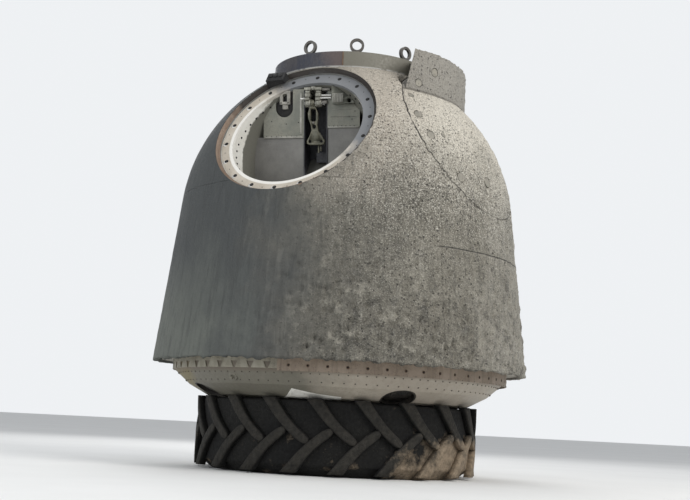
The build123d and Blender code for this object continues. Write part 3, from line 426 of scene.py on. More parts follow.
rim_z = 0.58997
dish_rim_r = 0.9551
rivet_form = bmesh.new()
for inset, drop, count, shift in ((0.030, 0.0703, 120, 0.0), (0.075, 0.1103, 96, 0.5)):
    for number in range(count):
        az = 360.0 / count * (number + shift)
        stand = Matrix.Translation(spot_at(az, dish_rim_r - inset, rim_z - drop))
        bmesh.ops.create_icosphere(rivet_form, subdivisions=1, radius=0.0045, matrix=stand)
rivet_metal = finish("rivet_metal", (0.16, 0.145, 0.12), (0.08, 0.072, 0.06), (0.03, 0.025, 0.02), metal=0.5,
                     rough=(0.4, 0.6), scale=30.0, bump=0.0002)
make_piece("dish_rivets", rivet_form, rivet_metal)


def dish_point(az, inset, drop, proud=0.0):
    """Point on the dish's face, or proud of it."""
    return spot_at(az, dish_rim_r - inset + proud * 0.5, rim_z - drop - proud)


def turned_to(az, spot):
    """Matrix of a place that faces an azimuth."""
    return Matrix.Translation(spot) @ Matrix.Rotation(radians(az), 4, "Z")


def bevel_sharp(form, offset, sharp=1.0, segments=2):
    """Rounds the edges of a form where its faces turn by more than an angle."""
    edges = [edge for edge in form.edges if edge.calc_face_angle(0.0) > sharp]
    bmesh.ops.bevel(form, geom=edges, offset=offset, segments=segments, profile=0.5, affect="EDGES",
                    material=-1)


# A bare metal tag is glued under the dish and bent to its face, and a round stud stands to its left
tag_outline = (
    # azimuth, inset from the dish's rim, drop under the shield's rim
    (-16.8, 0.1244, 0.1437), (-23.2, 0.2350, 0.1907), (1.6, 0.2350, 0.1907), (1.4, 0.1858, 0.1766),
)
tag_form = bmesh.new()
tag_form.faces.new([tag_form.verts.new(dish_point(*corner, 0.0012)) for corner in tag_outline])
bmesh.ops.subdivide_edges(tag_form, edges=tag_form.edges[:], cuts=12, use_grid_fill=True)
# The dish's face has two stretches there, each from one inset and drop to the next
outer_stretch = ((0.095, 0.128), (0.200, 0.184))
inner_stretch = ((0.200, 0.184), (0.285, 0.200))
bend_r = dish_rim_r - 0.200
tag_gap = 0.0015
for vert in tag_form.verts:
    reach = Vector((vert.co.x, vert.co.y)).length
    (near, near_drop), (far, far_drop) = outer_stretch if reach > bend_r else inner_stretch
    slope = (far_drop - near_drop) / (far - near)
    vert.co.z = rim_z - near_drop - slope * (dish_rim_r - near - reach) - tag_gap
bmesh.ops.solidify(tag_form, geom=tag_form.faces[:], thickness=0.001)
bmesh.ops.recalc_face_normals(tag_form, faces=tag_form.faces[:])
tag_white = finish("tag_white", (0.78, 0.77, 0.72), (0.66, 0.64, 0.58), (0.2, 0.17, 0.14), rough=(0.5, 0.7),
                   scale=14.0, runs=0.1, specks=0.4, speck_scale=120.0, bump=0.0002)
make_piece("dish_tag", tag_form, tag_white)

dish_stud_form = bmesh.new()
slant = turned_to(-38.0, dish_point(-38.0, 0.056, 0.0937)) @ Matrix.Rotation(radians(125.0), 4, "X")
bmesh.ops.create_cone(dish_stud_form, cap_ends=True, segments=32, radius1=0.030, radius2=0.026, depth=0.010,
                      matrix=slant)
bmesh.ops.create_cone(dish_stud_form, cap_ends=True, segments=24, radius1=0.012, radius2=0.010, depth=0.020,
                      matrix=slant @ Matrix.Translation((0.0, 0.0, 0.012)))
bevel_sharp(dish_stud_form, 0.002)
make_piece("dish_stud", dish_stud_form, dish_paint)

# Landing engine port covers: pressed black plugs with a raised rim, set into each port
port_form = bmesh.new()
port_r = dish_rim_r - 0.180
port_z = rim_z - 0.1733 + 0.030
port_tilt = -28.1
for number in range(4):
    az = 24.0 + 90.0 * number
    lie = turned_to(az, spot_at(az, port_r, port_z)) @ Matrix.Rotation(radians(port_tilt), 4, "X")
    lie = lie @ Matrix.Rotation(pi, 4, "X")
    bmesh.ops.create_cone(port_form, cap_ends=True, segments=48, radius1=0.084, radius2=0.080, depth=0.006,
                          matrix=lie)
    bmesh.ops.create_cone(port_form, cap_ends=True, segments=48, radius1=0.050, radius2=0.044, depth=0.010,
                          matrix=lie @ Matrix.Translation((0.0, 0.0, 0.004)))
bevel_sharp(port_form, 0.0015)
make_piece("port_plugs", port_form, port_metal)

# Base flange: an aluminium ring whose tabs held the heat shield, under a holed steel band that is
# still screwed on except along the left front
tab_paint = finish("tab_paint", (0.34, 0.32, 0.26), (0.24, 0.22, 0.17), (0.08, 0.062, 0.045),
                   rough=(0.5, 0.7), scale=9.0, runs=0.35, specks=0.3, bump=0.0006)
band_metal = finish("band_metal", (0.34, 0.275, 0.215), (0.25, 0.198, 0.15), (0.09, 0.062, 0.042), metal=0.1,
                    rough=(0.5, 0.72), scale=7.0, runs=0.45, specks=0.35, bump=0.0006)
dress(tab_paint, "base_flange", "base_frame")
dress(band_metal, "flange_band")

fit_gap, flange_wall, band_wall = 0.0003, 0.005, 0.009
band_r = dish_rim_r + fit_gap * 2 + flange_wall + band_wall
hole_form = bmesh.new()
ring_form = bmesh.new()
stitch_form = bmesh.new()
band_holes = [2.6 + 6.0 * number for number in range(-3, 42)]
for az in band_holes:
    stand = turned_to(az, spot_at(az, band_r, rim_z - 0.033)) @ Matrix.Rotation(radians(90.0), 4, "X")
    bmesh.ops.create_cone(hole_form, cap_ends=True, segments=20, radius1=0.0048, radius2=0.0048, depth=0.0024,
                          matrix=stand)
    bmesh.ops.create_cone(ring_form, cap_ends=True, segments=28, radius1=0.0090, radius2=0.0080, depth=0.0014,
                          matrix=stand)
for number in range(90):
    az = -18.0 + 3.0 * number
    centre = spot_at(az, band_r + fit_gap, rim_z - 0.0585)
    bmesh.ops.create_icosphere(stitch_form, subdivisions=1, radius=0.0026, matrix=Matrix.Translation(centre))
# Near-black discs in the band's holes are painted shade; the same black also serves dark rivets
rivet_black_and_hole_shade = finish("rivet_black_and_hole_shade", (0.008, 0.008, 0.008), (0.014, 0.013, 0.012), (0.004, 0.004, 0.004),
                    rough=(0.8, 0.9), scale=40.0, bump=0.0001)
rust_ring = finish("rust_ring", (0.11, 0.065, 0.04), (0.15, 0.10, 0.065), (0.04, 0.025, 0.018),
                   rough=(0.7, 0.9), scale=60.0, bump=0.0002)
make_piece("band_hole_sleeves", ring_form, rust_ring)
make_piece("band_holes", hole_form, rivet_black_and_hole_shade)
make_piece("band_screws", stitch_form, rivet_metal)

# Cabin: a welded aluminium pressure hull in grey primer, with a flat floor and three moulded couches on
# it. The drum of the reserve parachute and the seat of the hatch are welded in and have the same primer.
hull_primer = finish("hull_primer", (0.2, 0.2, 0.19), (0.15, 0.15, 0.14), (0.08, 0.075, 0.06),
                     rough=(0.5, 0.7), scale=4.0)
couch_shell = finish("couch_shell", (0.3, 0.29, 0.26), (0.24, 0.23, 0.2), (0.1, 0.09, 0.07),
                     rough=(0.6, 0.8), scale=8.0)
dress(hull_primer, "pressure_hull", "cabin_floor", "reserve_drum", "hatch_seat")
dress(couch_shell, "couch_left", "couch_centre", "couch_right")

# Side shield: moulded ablating panels, burnt, streaked and pitted by the descent. The left side is
# smooth and dark, the front and right have a rough crust, and the top by the ring is pale. The left's
# darkness is partly painted shade, and the right's paleness partly painted light.
shield_burnt = bpy.data.materials.new("shield_burnt")
shield_burnt.use_nodes = True
tree = shield_burnt.node_tree
shader = tree.nodes["Principled BSDF"]
place, x, y, z = coordinates(tree)
broad = noise_at(tree, place, 2.2, 7.0, 0.6)
across = waver(tree, x, broad, 0.8)
upward = waver(tree, z, broad, 0.8)
# Dark to pale from left to right: partly the burn, partly painted shade on the left and light on the right
left_burn_and_shade, front_tone = (0.045, 0.049, 0.049, 1.0), (0.13, 0.122, 0.10, 1.0)
tone = mix_colour(tree, spread_value(tree, across, -0.5, -0.1), left_burn_and_shade, front_tone)
tone = mix_colour(tree, spread_value(tree, across, -0.05, 0.5), tone, (0.205, 0.19, 0.153, 1.0))
tone = mix_colour(tree, spread_value(tree, across, 0.72, 1.0), tone, (0.36, 0.34, 0.29, 1.0))
# The foot of the left side is paler, and so is all the upper right, from the ring down past the cover.
# That pale top is painted brighter towards the right as light.
foot_pale = multiply(tree, spread_value(tree, upward, 1.3, 0.75), spread_value(tree, across, -0.4, -0.65))
tone = mix_colour(tree, foot_pale, tone, (0.105, 0.112, 0.098, 1.0))
pale = multiply(tree, spread_value(tree, upward, 1.38, 1.86), spread_value(tree, across, -0.4, 0.08))
dull_cream, cream_with_painted_light = (0.47, 0.42, 0.35, 1.0), (0.66, 0.615, 0.525, 1.0)
cream = mix_colour(tree, spread_value(tree, x, 0.2, 0.5), dull_cream, cream_with_painted_light)
tone = mix_colour(tree, pale, tone, cream)
long_axes = put(tree, "ShaderNodeMapping", {"Vector": place, "Scale": (1.0, 1.0, 0.07)}).outputs[0]
flow = put(tree, "ShaderNodeTexNoise", {
    "Vector": long_axes, "Scale": 34.0, "Detail": 7.0, "Roughness": 0.66, "Distortion": 0.6,
}).outputs[0]
below_shoulder = spread_value(tree, z, 1.95, 1.5, 0.25, 1.0)
flow_dark = multiply(tree, spread_value(tree, flow, 0.52, 0.68, 0.0, 0.4), below_shoulder)
tone = mix_colour(tree, flow_dark, tone, (0.035, 0.037, 0.036, 1.0))
crusty = spread_value(tree, across, -0.55, 0.1, 0.12, 1.0)
# Low down at the front the crust is lumpy, with painted shade in its hollows and painted light on its lumps
blotch = noise_at(tree, place, 14.0, 8.0, 0.75)
low_front = multiply(tree, spread_value(tree, upward, 1.5, 0.85), spread_value(tree, across, -0.4, 0.05))
hollow_painted_shade = multiply(tree, spread_value(tree, blotch, 0.47, 0.38), low_front, 0.75)
tone = mix_colour(tree, hollow_painted_shade, tone, (0.055, 0.051, 0.044, 1.0))
lump_painted_light = multiply(tree, spread_value(tree, blotch, 0.53, 0.62), low_front, 0.6)
tone = mix_colour(tree, lump_painted_light, tone, (0.42, 0.395, 0.33, 1.0))
flow_pale = multiply(tree, spread_value(tree, flow, 0.46, 0.34, 0.0, 0.22), crusty)
tone = mix_colour(tree, flow_pale, tone, (0.40, 0.385, 0.34, 1.0))
# Salt and pepper grains are strongest in a belt below the pale top
belt = multiply(tree, spread_value(tree, z, 1.25, 1.5), spread_value(tree, z, 2.06, 1.86, 0.15, 1.0),
                spread_value(tree, across, -0.1, 0.35))
speckle = multiply(tree, spread_value(tree, across, -0.35, 0.2), spread_value(tree, z, 0.9, 1.4, 0.28, 0.5))
speckle = combine(tree, "ADD", speckle, multiply(tree, belt, 0.45))
coarse = noise_at(tree, place, 42.0, 6.0, 0.72)
fine = noise_at(tree, place, 130.0, 5.0, 0.75)
cells = put(tree, "ShaderNodeTexVoronoi", {"Vector": place, "Scale": 58.0, "Randomness": 1.0})
pit = spread_value(tree, cells.outputs["Distance"], 0.10, 0.36, 1.0, 0.0)
pit = multiply(tree, pit, spread_value(tree, coarse, 0.46, 0.56), crusty)
# The pits are painted near-black as shade; the same mask sinks them in the relief
tone = mix_colour(tree, multiply(tree, pit, 0.85), tone, (0.022, 0.021, 0.020, 1.0))
grain_dark = multiply(tree, spread_value(tree, fine, 0.48, 0.38), speckle)
tone = mix_colour(tree, grain_dark, tone, (0.045, 0.043, 0.038, 1.0))
chalk = multiply(tree, spread_value(tree, fine, 0.53, 0.62), speckle)
tone = mix_colour(tree, chalk, tone, (0.76, 0.73, 0.65, 1.0))
tree.links.new(tone, shader.inputs["Base Color"])
tree.links.new(spread_value(tree, fine, 0.3, 0.7, 0.62, 0.92), shader.inputs["Roughness"])
crust_height = combine(tree, "ADD", multiply(tree, fine, 0.55), coarse)
crust_height = multiply(tree, combine(tree, "SUBTRACT", crust_height, pit), crusty)
crust_height = combine(tree, "ADD", crust_height, multiply(tree, blotch, 2.2, low_front))
crust_height = combine(tree, "SUBTRACT", crust_height, multiply(tree, flow_dark, 0.45))
relief = put(tree, "ShaderNodeBump", {"Strength": 1.0, "Distance": 0.013, "Height": crust_height})
tree.links.new(relief.outputs[0], shader.inputs["Normal"])

ball_r = 0.976
ball_z = rim_z + 0.832
ball_centre = Vector((0.0, 0.0, ball_z))
cone_angle = 6.5
shield_wall = 0.030
seam_z = ball_z + ball_r * sin(radians(cone_angle))
ring_r = 0.475


def cone_r(z, depth=0.0):
    """Radius of the shield's cone at a height, at a depth under its face."""
    return (ball_r - depth) / cos(radians(cone_angle)) - (z - ball_z) * tan(radians(cone_angle))


def outward(point):
    """Direction square to the shield's face at a point."""
    if point.z > seam_z:
        return (point - ball_centre).normalized()
    level = Vector((point.x, point.y, 0.0)).normalized()
    return level * cos(radians(cone_angle)) + Vector((0.0, 0.0, sin(radians(cone_angle))))


# Places where a flake of the crust broke out: azimuth, height above the rim, reach, depth
scars = (
    (22.6, 0.829, 0.020, 0.009), (28.1, 0.584, 0.012, 0.008), (21.4, 0.508, 0.013, 0.008),
    (28.3, 0.495, 0.015, 0.009), (-14.8, 0.895, 0.018, 0.009), (-13.2, 0.872, 0.014, 0.008),
    (-11.8, 0.833, 0.020, 0.010), (-10.9, 0.775, 0.011, 0.007), (-12.6, 0.742, 0.012, 0.007),
    (-11.4, 0.698, 0.010, 0.006), (3.6, 0.62, 0.010, 0.006), (17.5, 0.44, 0.009, 0.006),
    (26.0, 0.40, 0.012, 0.007), (-7.4, 0.31, 0.012, 0.007), (8.0, 0.20, 0.016, 0.008),
    (24.0, 0.17, 0.018, 0.008), (34.0, 0.21, 0.017, 0.009), (45.0, 0.30, 0.016, 0.008),
    (53.0, 0.17, 0.020, 0.009), (62.0, 0.26, 0.018, 0.009),
)
scar_points = []
for az, above, spread, depth in scars:
    height = rim_z + above
    reach = cone_r(height) if height < seam_z else sqrt(ball_r**2 - (height - ball_z) ** 2)
    scar_points.append((spot_at(az, reach, height), spread, depth))


def crust_depth(point):
    """Depth to which the descent ate the shield's face away at a point."""
    rough_part = min(max((point.x + 0.62) / 0.5, 0.10), 1.0)
    smooth_top = 1.0 - 0.7 * min(max((point.z - 1.9) / 0.2, 0.0), 1.0)
    low_part = 1.0 + 1.3 * min(max((rim_z + 0.55 - point.z) / 0.5, 0.0), 1.0)
    lumps = noise.turbulence(point * 15.0, 6, False)
    spots = noise.voronoi(Vector((point.x * 24.0, point.y * 24.0, point.z * 17.0)))[0]
    hollow = max(0.0, 0.42 - spots[0]) * 0.028
    runs = 0.5 + 0.5 * noise.fractal(Vector((point.x * 20.0, point.y * 20.0, point.z * 1.6)), 0.9, 2.0, 4)
    depth = rough_part * smooth_top * (0.0066 * lumps * low_part + hollow * low_part + 0.0032 * runs)
    for middle, spread, deep in scar_points:
        away = (point - middle).length / spread
        if away < 1.0:
            depth += deep * (1.0 - away * away)
    return depth


def erode(piece, depth_at, skin=0.0004):
    """Moves the points of a shield piece's outer face inwards by their depth."""
    for vert in piece.data.vertices:
        point = vert.co
        if point.z > seam_z:
            proud = (point - ball_centre).length - ball_r
        else:
            proud = (Vector((point.x, point.y, 0.0)).length - cone_r(point.z)) * cos(radians(cone_angle))
        if abs(proud) < skin:
            vert.co = point - outward(point) * depth_at(point)


cutters = []


def cutter(name, form):
    """Object that is only there to cut others, until the end of the work."""
    mesh = bpy.data.meshes.new(name)
    bmesh.ops.recalc_face_normals(form, faces=form.faces[:])
    form.to_mesh(mesh)
    form.free()
    tool = bpy.data.objects.new(name, mesh)
    bpy.context.scene.collection.objects.link(tool)
    cutters.append(tool)
    return tool


def cut_with(piece, tool, operation="DIFFERENCE"):
    """Cuts a piece by another object and keeps the result as its mesh."""
    change = piece.modifiers.new("cut", "BOOLEAN")
    change.operation = operation
    change.solver = "MANIFOLD"
    change.object = tool
    depsgraph = bpy.context.evaluated_depsgraph_get()
    cut_mesh = bpy.data.meshes.new_from_object(piece.evaluated_get(depsgraph))
    piece.modifiers.clear()
    piece.data = cut_mesh


def direction(az, el):
    """Unit vector at an azimuth and an elevation."""
    return radial(az) * cos(radians(el)) + Vector((0.0, 0.0, sin(radians(el))))


def stand_on(spot, side, way):
    """Matrix of a plane through a spot: x along the side, z along the way, y square to both."""
    return Matrix.Translation(spot) @ Matrix((side, way.cross(side), way)).transposed().to_4x4()


def facing(az, el, distance):
    """Matrix of a plane square to a direction from the ball's centre: x level, y up the slope."""
    way = direction(az, el)
    return stand_on(ball_centre + way * distance, tangent(az), way)


def rod(form, matrix, radius, low, high, segments=96):
    """Adds a round bar along a plane's normal, between two distances from it."""
    shifted = matrix @ Matrix.Translation((0.0, 0.0, (low + high) / 2))
    bmesh.ops.create_cone(form, cap_ends=True, segments=segments, radius1=radius, radius2=radius,
                          depth=high - low, matrix=shifted)


def round_cutter(name, *bars):
    """Cutter made of round bars, each given as the rest of what rod takes."""
    form = bmesh.new()
    for bar in bars:
        rod(form, *bar)
    return cutter(name, form)


def draw_out(form, corners, way):
    """Lays a face through corners and draws it out into a solid."""
    raised = bmesh.ops.extrude_face_region(form, geom=[form.faces.new(corners)])["geom"]
    far_side = [item for item in raised if isinstance(item, bmesh.types.BMVert)]
    bmesh.ops.translate(form, verts=far_side, vec=way)


def cut_away(form, point, normal):
    """Removes what lies beyond a plane and closes the cut."""
    cut = bmesh.ops.bisect_plane(form, geom=form.verts[:] + form.edges[:] + form.faces[:], plane_co=point,
                                 plane_no=normal, clear_outer=True)["geom_cut"]
    bmesh.ops.edgeloop_fill(form, edges=[item for item in cut if isinstance(item, bmesh.types.BMEdge)])


chute_az, chute_el, chute_cut_r = -24.9, 31.295, 0.4675
cover_az, cover_el, cover_r = 57.4, 30.947, 0.487
wall_r, wall_az, wall_lean = 0.675, 29.7, 10.7
ring_top_z = ball_z + sqrt(ball_r**2 - ring_r**2) + 0.0904
wall_corner = Vector((wall_r * sin(radians(wall_az)), 0.0, ring_top_z))
wall_side = Vector((-cos(radians(wall_lean)), 0.0, sin(radians(wall_lean))))
front_az = 16.5
window_azimuths, window_el = (front_az - 111.5, front_az + 111.5), 17.0


def about_axis(tree, place, way):
    """Distances of a place along and from a line through the ball's centre."""
    kind = "ShaderNodeVectorMath"
    from_ball = put(tree, kind, {0: place, 1: (0.0, 0.0, -ball_z)}, operation="ADD").outputs[0]
    along = put(tree, kind, {0: from_ball, 1: way}, operation="DOT_PRODUCT").outputs["Value"]
    square = put(tree, kind, {0: from_ball, 1: way}, operation="CROSS_PRODUCT").outputs[0]
    return along, put(tree, kind, {0: square}, operation="LENGTH").outputs["Value"]


# Soot fills the joint round the reserve cover. The cover's own wall by the ring is painted a speckled
# darker grey as shade, and darker still along its foot as shade in the crease.
cover_burnt = shield_burnt.copy()
cover_burnt.name = "cover_burnt"
for material, high_z in ((shield_burnt, 3.0), (cover_burnt, 2.12)):
    tree = material.node_tree
    place, x, y, z = coordinates(tree)
    along, off_axis = about_axis(tree, place, facing(cover_az, cover_el, 0.0).col[2].to_3d())
    inner_side = spread_value(tree, off_axis, 0.4840, 0.4867)
    outer_side = spread_value(tree, off_axis, 0.4935, 0.4905)
    joint = multiply(tree, inner_side, outer_side, spread_value(tree, along, 0.5, 0.6),
                     spread_value(tree, z, 1.5, 1.8, 0.4, 1.0), spread_value(tree, z, high_z, high_z - 0.01))
    tint(material, joint, (0.018, 0.016, 0.014))
    level_joint = multiply(tree, spread_value(tree, z, 1.2085, 1.2115), spread_value(tree, z, 1.2175, 1.2145),
                           spread_value(tree, x, 0.46, 0.5, 0.0, 0.85))
    tint(material, level_joint, (0.03, 0.027, 0.024))
# The wall's grey and the dark line along its foot are painted shade
foot_z = waver(tree, z, noise_at(tree, place, 14.0), 0.02)
tint(cover_burnt, spread_value(tree, foot_z, 2.118, 2.130, 0.0, 0.66), (0.17, 0.163, 0.15))
foot_crease_shade = multiply(tree, spread_value(tree, foot_z, 2.112, 2.120),
                     spread_value(tree, foot_z, 2.136, 2.126, 0.0, 0.7))
tint(cover_burnt, foot_crease_shade, (0.07, 0.062, 0.05))

half_ball, seam_gap = ball_r / 2, 0.003
chute_half_way, cover_half_way = facing(chute_az, chute_el, half_ball), facing(cover_az, cover_el, half_ball)
container_cut = round_cutter("container_cut", (chute_half_way, chute_cut_r, 0.0, 0.8, 160))
cover_cut = round_cutter("cover_cut", (cover_half_way, cover_r + seam_gap, 0.0, 0.8, 160))
window_cut = round_cutter(
    "window_cut", *[(facing(az, window_el, half_ball), 0.1503, 0.0, 0.8) for az in window_azimuths]
)
notch_form = spin_section(((0.470, 2.1), (0.603, 2.1), (0.603, 2.6), (0.470, 2.6)), 28, 19.0, 67.4)
cut_away(notch_form, wall_corner + wall_side * seam_gap, wall_side)
wall_cut = cutter("wall_cut", notch_form)
corner_form = bmesh.new()
corner_outline = ((0.238, -0.506), (0.310, -0.430), (0.310, -0.500), (0.287, -0.645))
draw_out(corner_form, [corner_form.verts.new((x, y, 1.9)) for x, y in corner_outline], (0.0, 0.0, 0.6))
corner_cut = cutter("corner_cut", corner_form)

cell = 0.0082
shield_panels = (
    # name, lowest z, highest z, first azimuth, sweep
    ("shield_front", rim_z, seam_z, 155.02, 234.96),
    ("shield_right_lower", rim_z, rim_z + 0.6234, 30.0, 125.0),
    ("shield_right_upper", rim_z + 0.6236, seam_z, 30.0, 125.0),
)


def wall_section(az, low_z, high_z):
    """Closed section of the cone's wall, its outer side divided into cells."""
    form = bmesh.new()
    corners = [
        form.verts.new(spot_at(az, cone_r(z, depth), z))
        for z, depth in ((low_z, 0.0), (high_z, 0.0), (high_z, shield_wall), (low_z, shield_wall))
    ]
    face = form.faces.new(corners)
    outer = next(edge for edge in face.edges if set(edge.verts) == {corners[0], corners[1]})
    bmesh.ops.subdivide_edges(form, edges=[outer], cuts=int((high_z - low_z) / cell))
    return form


for name, low_z, high_z, first_az, sweep in shield_panels:
    panel_form = wall_section(first_az, low_z, high_z)
    turn_round(panel_form, sweep, int(radians(sweep) * ball_r / cell))
    panel = make_piece(name + "_crust", panel_form, shield_burnt)
    if name != "shield_right_lower":
        for tool in (container_cut, cover_cut, window_cut):
            cut_with(panel, tool)
    erode(panel, crust_depth)
    # Crust hangs ragged from the shield's foot, most at the front
    for vert in panel.data.vertices:
        if vert.co.z < rim_z + 0.0005:
            front = min(max((-vert.co.y + 0.4) / 0.8, 0.15), 1.0)
            vert.co.z -= 0.016 * front * max(0.0, noise.fractal(vert.co * 21.0, 0.8, 2.0, 4) + 0.25)
    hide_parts(name)

# The dome's section is an arc that a point draws round the ball's centre
dome_form = bmesh.new()
foot_rise = seam_z + 2 * fit_gap - ball_z
ring_room_r = ring_r + fit_gap
low_angle = atan2(foot_rise, sqrt(ball_r**2 - foot_rise**2))
top_angle = atan2(sqrt(ball_r**2 - ring_room_r**2), ring_room_r)
runs = []
for reach, steps in ((ball_r, int((top_angle - low_angle) * ball_r / cell)), (ball_r - shield_wall, 16)):
    first = dome_form.verts.new(ball_centre + Vector((0.0, -reach * cos(low_angle), reach * sin(low_angle))))
    bmesh.ops.spin(dome_form, geom=[first], cent=ball_centre, axis=(-1, 0, 0), dvec=(0, 0, 0),
                   angle=top_angle - low_angle, steps=steps, use_merge=False)
    dome_form.verts.ensure_lookup_table()
    runs.append((first, dome_form.verts[-1]))
dome_form.edges.new((runs[0][0], runs[1][0]))
dome_form.edges.new((runs[0][1], runs[1][1]))
turn_round(dome_form, 360.0, 600)
dome = make_piece("shield_dome_crust", dome_form, shield_burnt)
for tool in (container_cut, cover_cut, window_cut, wall_cut, corner_cut):
    cut_with(dome, tool)
erode(dome, crust_depth)
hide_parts("shield_dome")

# Reserve parachute cover: a moulded disc of the same burnt shield with an upright wall by the ring.
# Round plugs close the screw holes along its edge.
cap_form = bmesh.new()
cap_lie = facing(cover_az, cover_el, 0.0)
rim_angle = asin(cover_r / ball_r)
inner_angle = asin(cover_r / (ball_r - shield_wall))
cap_arcs = ((ball_r, rim_angle, int(rim_angle * ball_r / cell)), (ball_r - shield_wall, inner_angle, 12))
runs = []
for reach, angle, steps in cap_arcs:
    first = cap_form.verts.new((0.0, 0.0, reach))
    bmesh.ops.spin(cap_form, geom=[first], cent=(0, 0, 0), axis=(0, 1, 0), dvec=(0, 0, 0), angle=angle,
                   steps=steps, use_merge=False)
    cap_form.verts.ensure_lookup_table()
    runs.append(cap_form.verts[-1])
cap_form.edges.new(runs)
turn_round(cap_form, 360.0, 320)
bmesh.ops.transform(cap_form, matrix=cap_lie, verts=cap_form.verts[:])
cover = make_piece("reserve_cover_crust", cap_form, cover_burnt)
ring_cut = round_cutter("ring_cut", (Matrix.Translation((0.0, 0.0, 1.5)), ring_room_r, 0.0, 1.5, 160))
cut_with(cover, ring_cut)

wall_low_z = ball_z + sqrt(ball_r**2 - wall_r**2) - shield_wall
wall_form = bmesh.new()
corners = [
    wall_form.verts.new(spot_at(19.0, reach, height))
    for reach, height in (
        (ring_room_r, wall_low_z), (wall_r, wall_low_z), (wall_r, ring_top_z), (ring_room_r, ring_top_z),
    )
]
wall_form.faces.new(corners)
seen_edges = [edge for edge in wall_form.edges if set(edge.verts) <= set(corners[1:])]
bmesh.ops.subdivide_edges(wall_form, edges=seen_edges, cuts=30)
turn_round(wall_form, 67.0, 96)
cut_away(wall_form, wall_corner, wall_side)
slope = atan2(0.030, wall_r * radians(12.0))
along_drop = tangent(80.0) * cos(slope) - Vector((0.0, 0.0, sin(slope)))
cut_away(wall_form, spot_at(74.0, wall_r, ring_top_z), radial(80.0).cross(along_drop))
wall_tool = cutter("wall_tool", wall_form)
cut_with(cover, wall_tool, "UNION")
tool_form = bmesh.new()
bmesh.ops.create_uvsphere(tool_form, u_segments=128, v_segments=64, radius=ball_r - shield_wall,
                          matrix=Matrix.Translation(ball_centre))
inside_cut = cutter("inside_cut", tool_form)
cut_with(cover, inside_cut)

plug_places = (
    # from the cover's middle: along the level, up the slope; radius
    (-0.394, 0.192, 0.015), (-0.452, 0.030, 0.023), (-0.440, -0.108, 0.023), (-0.349, -0.091, 0.012),
    (-0.307, -0.336, 0.025), (-0.070, -0.321, 0.027), (0.310, -0.323, 0.027),
)
plug_deep = 0.012
plug_seats = []
for along, up, reach in plug_places:
    el = cover_el + up / ball_r * 180.0 / pi
    az = cover_az + along / (ball_r * cos(radians(el))) * 180.0 / pi
    plug_seats.append((facing(az, el, ball_r - plug_deep), reach))
for along, drop, reach in ((0.150, 0.108, 0.023), (0.035, 0.192, 0.021)):
    az = wall_az + along / wall_r * 180.0 / pi
    seat = stand_on(spot_at(az, wall_r - plug_deep, ring_top_z - drop), tangent(az), radial(az))
    plug_seats.append((seat, reach))
plug_cut = round_cutter("plug_cut", *[(seat, reach + 0.0035, -0.002, 0.05, 40) for seat, reach in plug_seats])
cut_with(cover, plug_cut)
erode(cover, crust_depth)
# The wall's face is eaten too, and its top and near edge are ragged
for vert in cover.data.vertices:
    point = vert.co
    level = Vector((point.x, point.y, 0.0))
    if abs(level.length - wall_r) < 0.0006 and point.z > wall_low_z + 0.06:
        vert.co = point - level.normalized() * (0.0045 * noise.turbulence(point * 24.0, 5, False))
    if point.z > ring_top_z - 0.001:
        vert.co.z -= 0.012 * abs(noise.fractal(point * 17.0, 0.8, 2.0, 4))
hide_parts("reserve_cover")
plug_paint = finish("plug_paint", (0.20, 0.19, 0.16), (0.29, 0.27, 0.225), (0.05, 0.045, 0.037),
                    rough=(0.6, 0.8), scale=20.0, specks=0.5, bump=0.001)
dress(plug_paint, "cover_plugs")

# Windows, periscope, thrusters and the cable plate: turned or milled metal fittings let into the shield and
# bolted to the hull behind it. Their glass is dark, and the cable plate has eight round sockets.
fitting_metal = finish("fitting_metal", (0.20, 0.19, 0.17), (0.12, 0.115, 0.1), (0.05, 0.045, 0.04),
                       metal=0.4, rough=(0.4, 0.65), scale=10.0)
window_glass = finish("window_glass", (0.012, 0.013, 0.014), (0.02, 0.02, 0.02), (0.06, 0.055, 0.05),
                      rough=(0.06, 0.2), scale=8.0, runs=0.3, specks=0.2, bump=0.0001)
dress(fitting_metal, "window_frame_left", "window_frame_right", "scope_housing", "thruster_nozzles",
      "umbilical_plate")
dress(window_glass, "window_pane_left", "window_pane_right", "scope_glass")


def cone_place(az, above_rim, proud):
    """Matrix of a plane square to the cone: x along the level, y up, z outwards."""
    height = rim_z + above_rim
    way = direction(az, cone_angle)
    return stand_on(spot_at(az, cone_r(height), height) + way * proud, tangent(az), way)


def bolt_heads(form, matrix, circle_r, count, head_r, tall):
    """Adds a circle of six-sided bolt heads on a plane."""
    for number in range(count):
        angle = 2.0 * pi * number / count
        spot = Matrix.Translation((circle_r * cos(angle), circle_r * sin(angle), tall / 2))
        bmesh.ops.create_cone(form, cap_ends=True, segments=6, radius1=head_r, radius2=head_r * 0.9,
                              depth=tall, matrix=matrix @ spot)


fitting_form = bmesh.new()
for az in window_azimuths:
    bolt_heads(fitting_form, facing(az, window_el, ball_r - 0.012), 0.130, 16, 0.0075, 0.006)
bolt_heads(fitting_form, cone_place(front_az + 180.0, 0.520, -0.0153), 0.0825, 12, 0.005, 0.004)
make_piece("fitting_bolts", fitting_form, rivet_metal)

socket_form = bmesh.new()
plate_az, plate_up = front_az - 155.0, 0.560
socket_places = (
    # from the plate's middle: along, up; radius
    (-0.085, 0.035, 0.030), (-0.010, 0.035, 0.030), (0.065, 0.035, 0.022), (0.112, 0.035, 0.014),
    (-0.060, -0.045, 0.022), (0.000, -0.045, 0.022), (0.060, -0.045, 0.022), (0.108, -0.045, 0.014),
)
for along, up, reach in socket_places:
    seat = cone_place(plate_az, plate_up, -0.007) @ Matrix.Translation((along, up, 0.0))
    for ring_reach, ring_low, ring_high in ((reach, 0.0, 0.008), (reach * 0.6, 0.004, 0.012)):
        rod(socket_form, seat, ring_reach, ring_low, ring_high, 32)
bevel_sharp(socket_form, 0.001)
make_piece("umbilical_sockets", socket_form, rivet_metal)
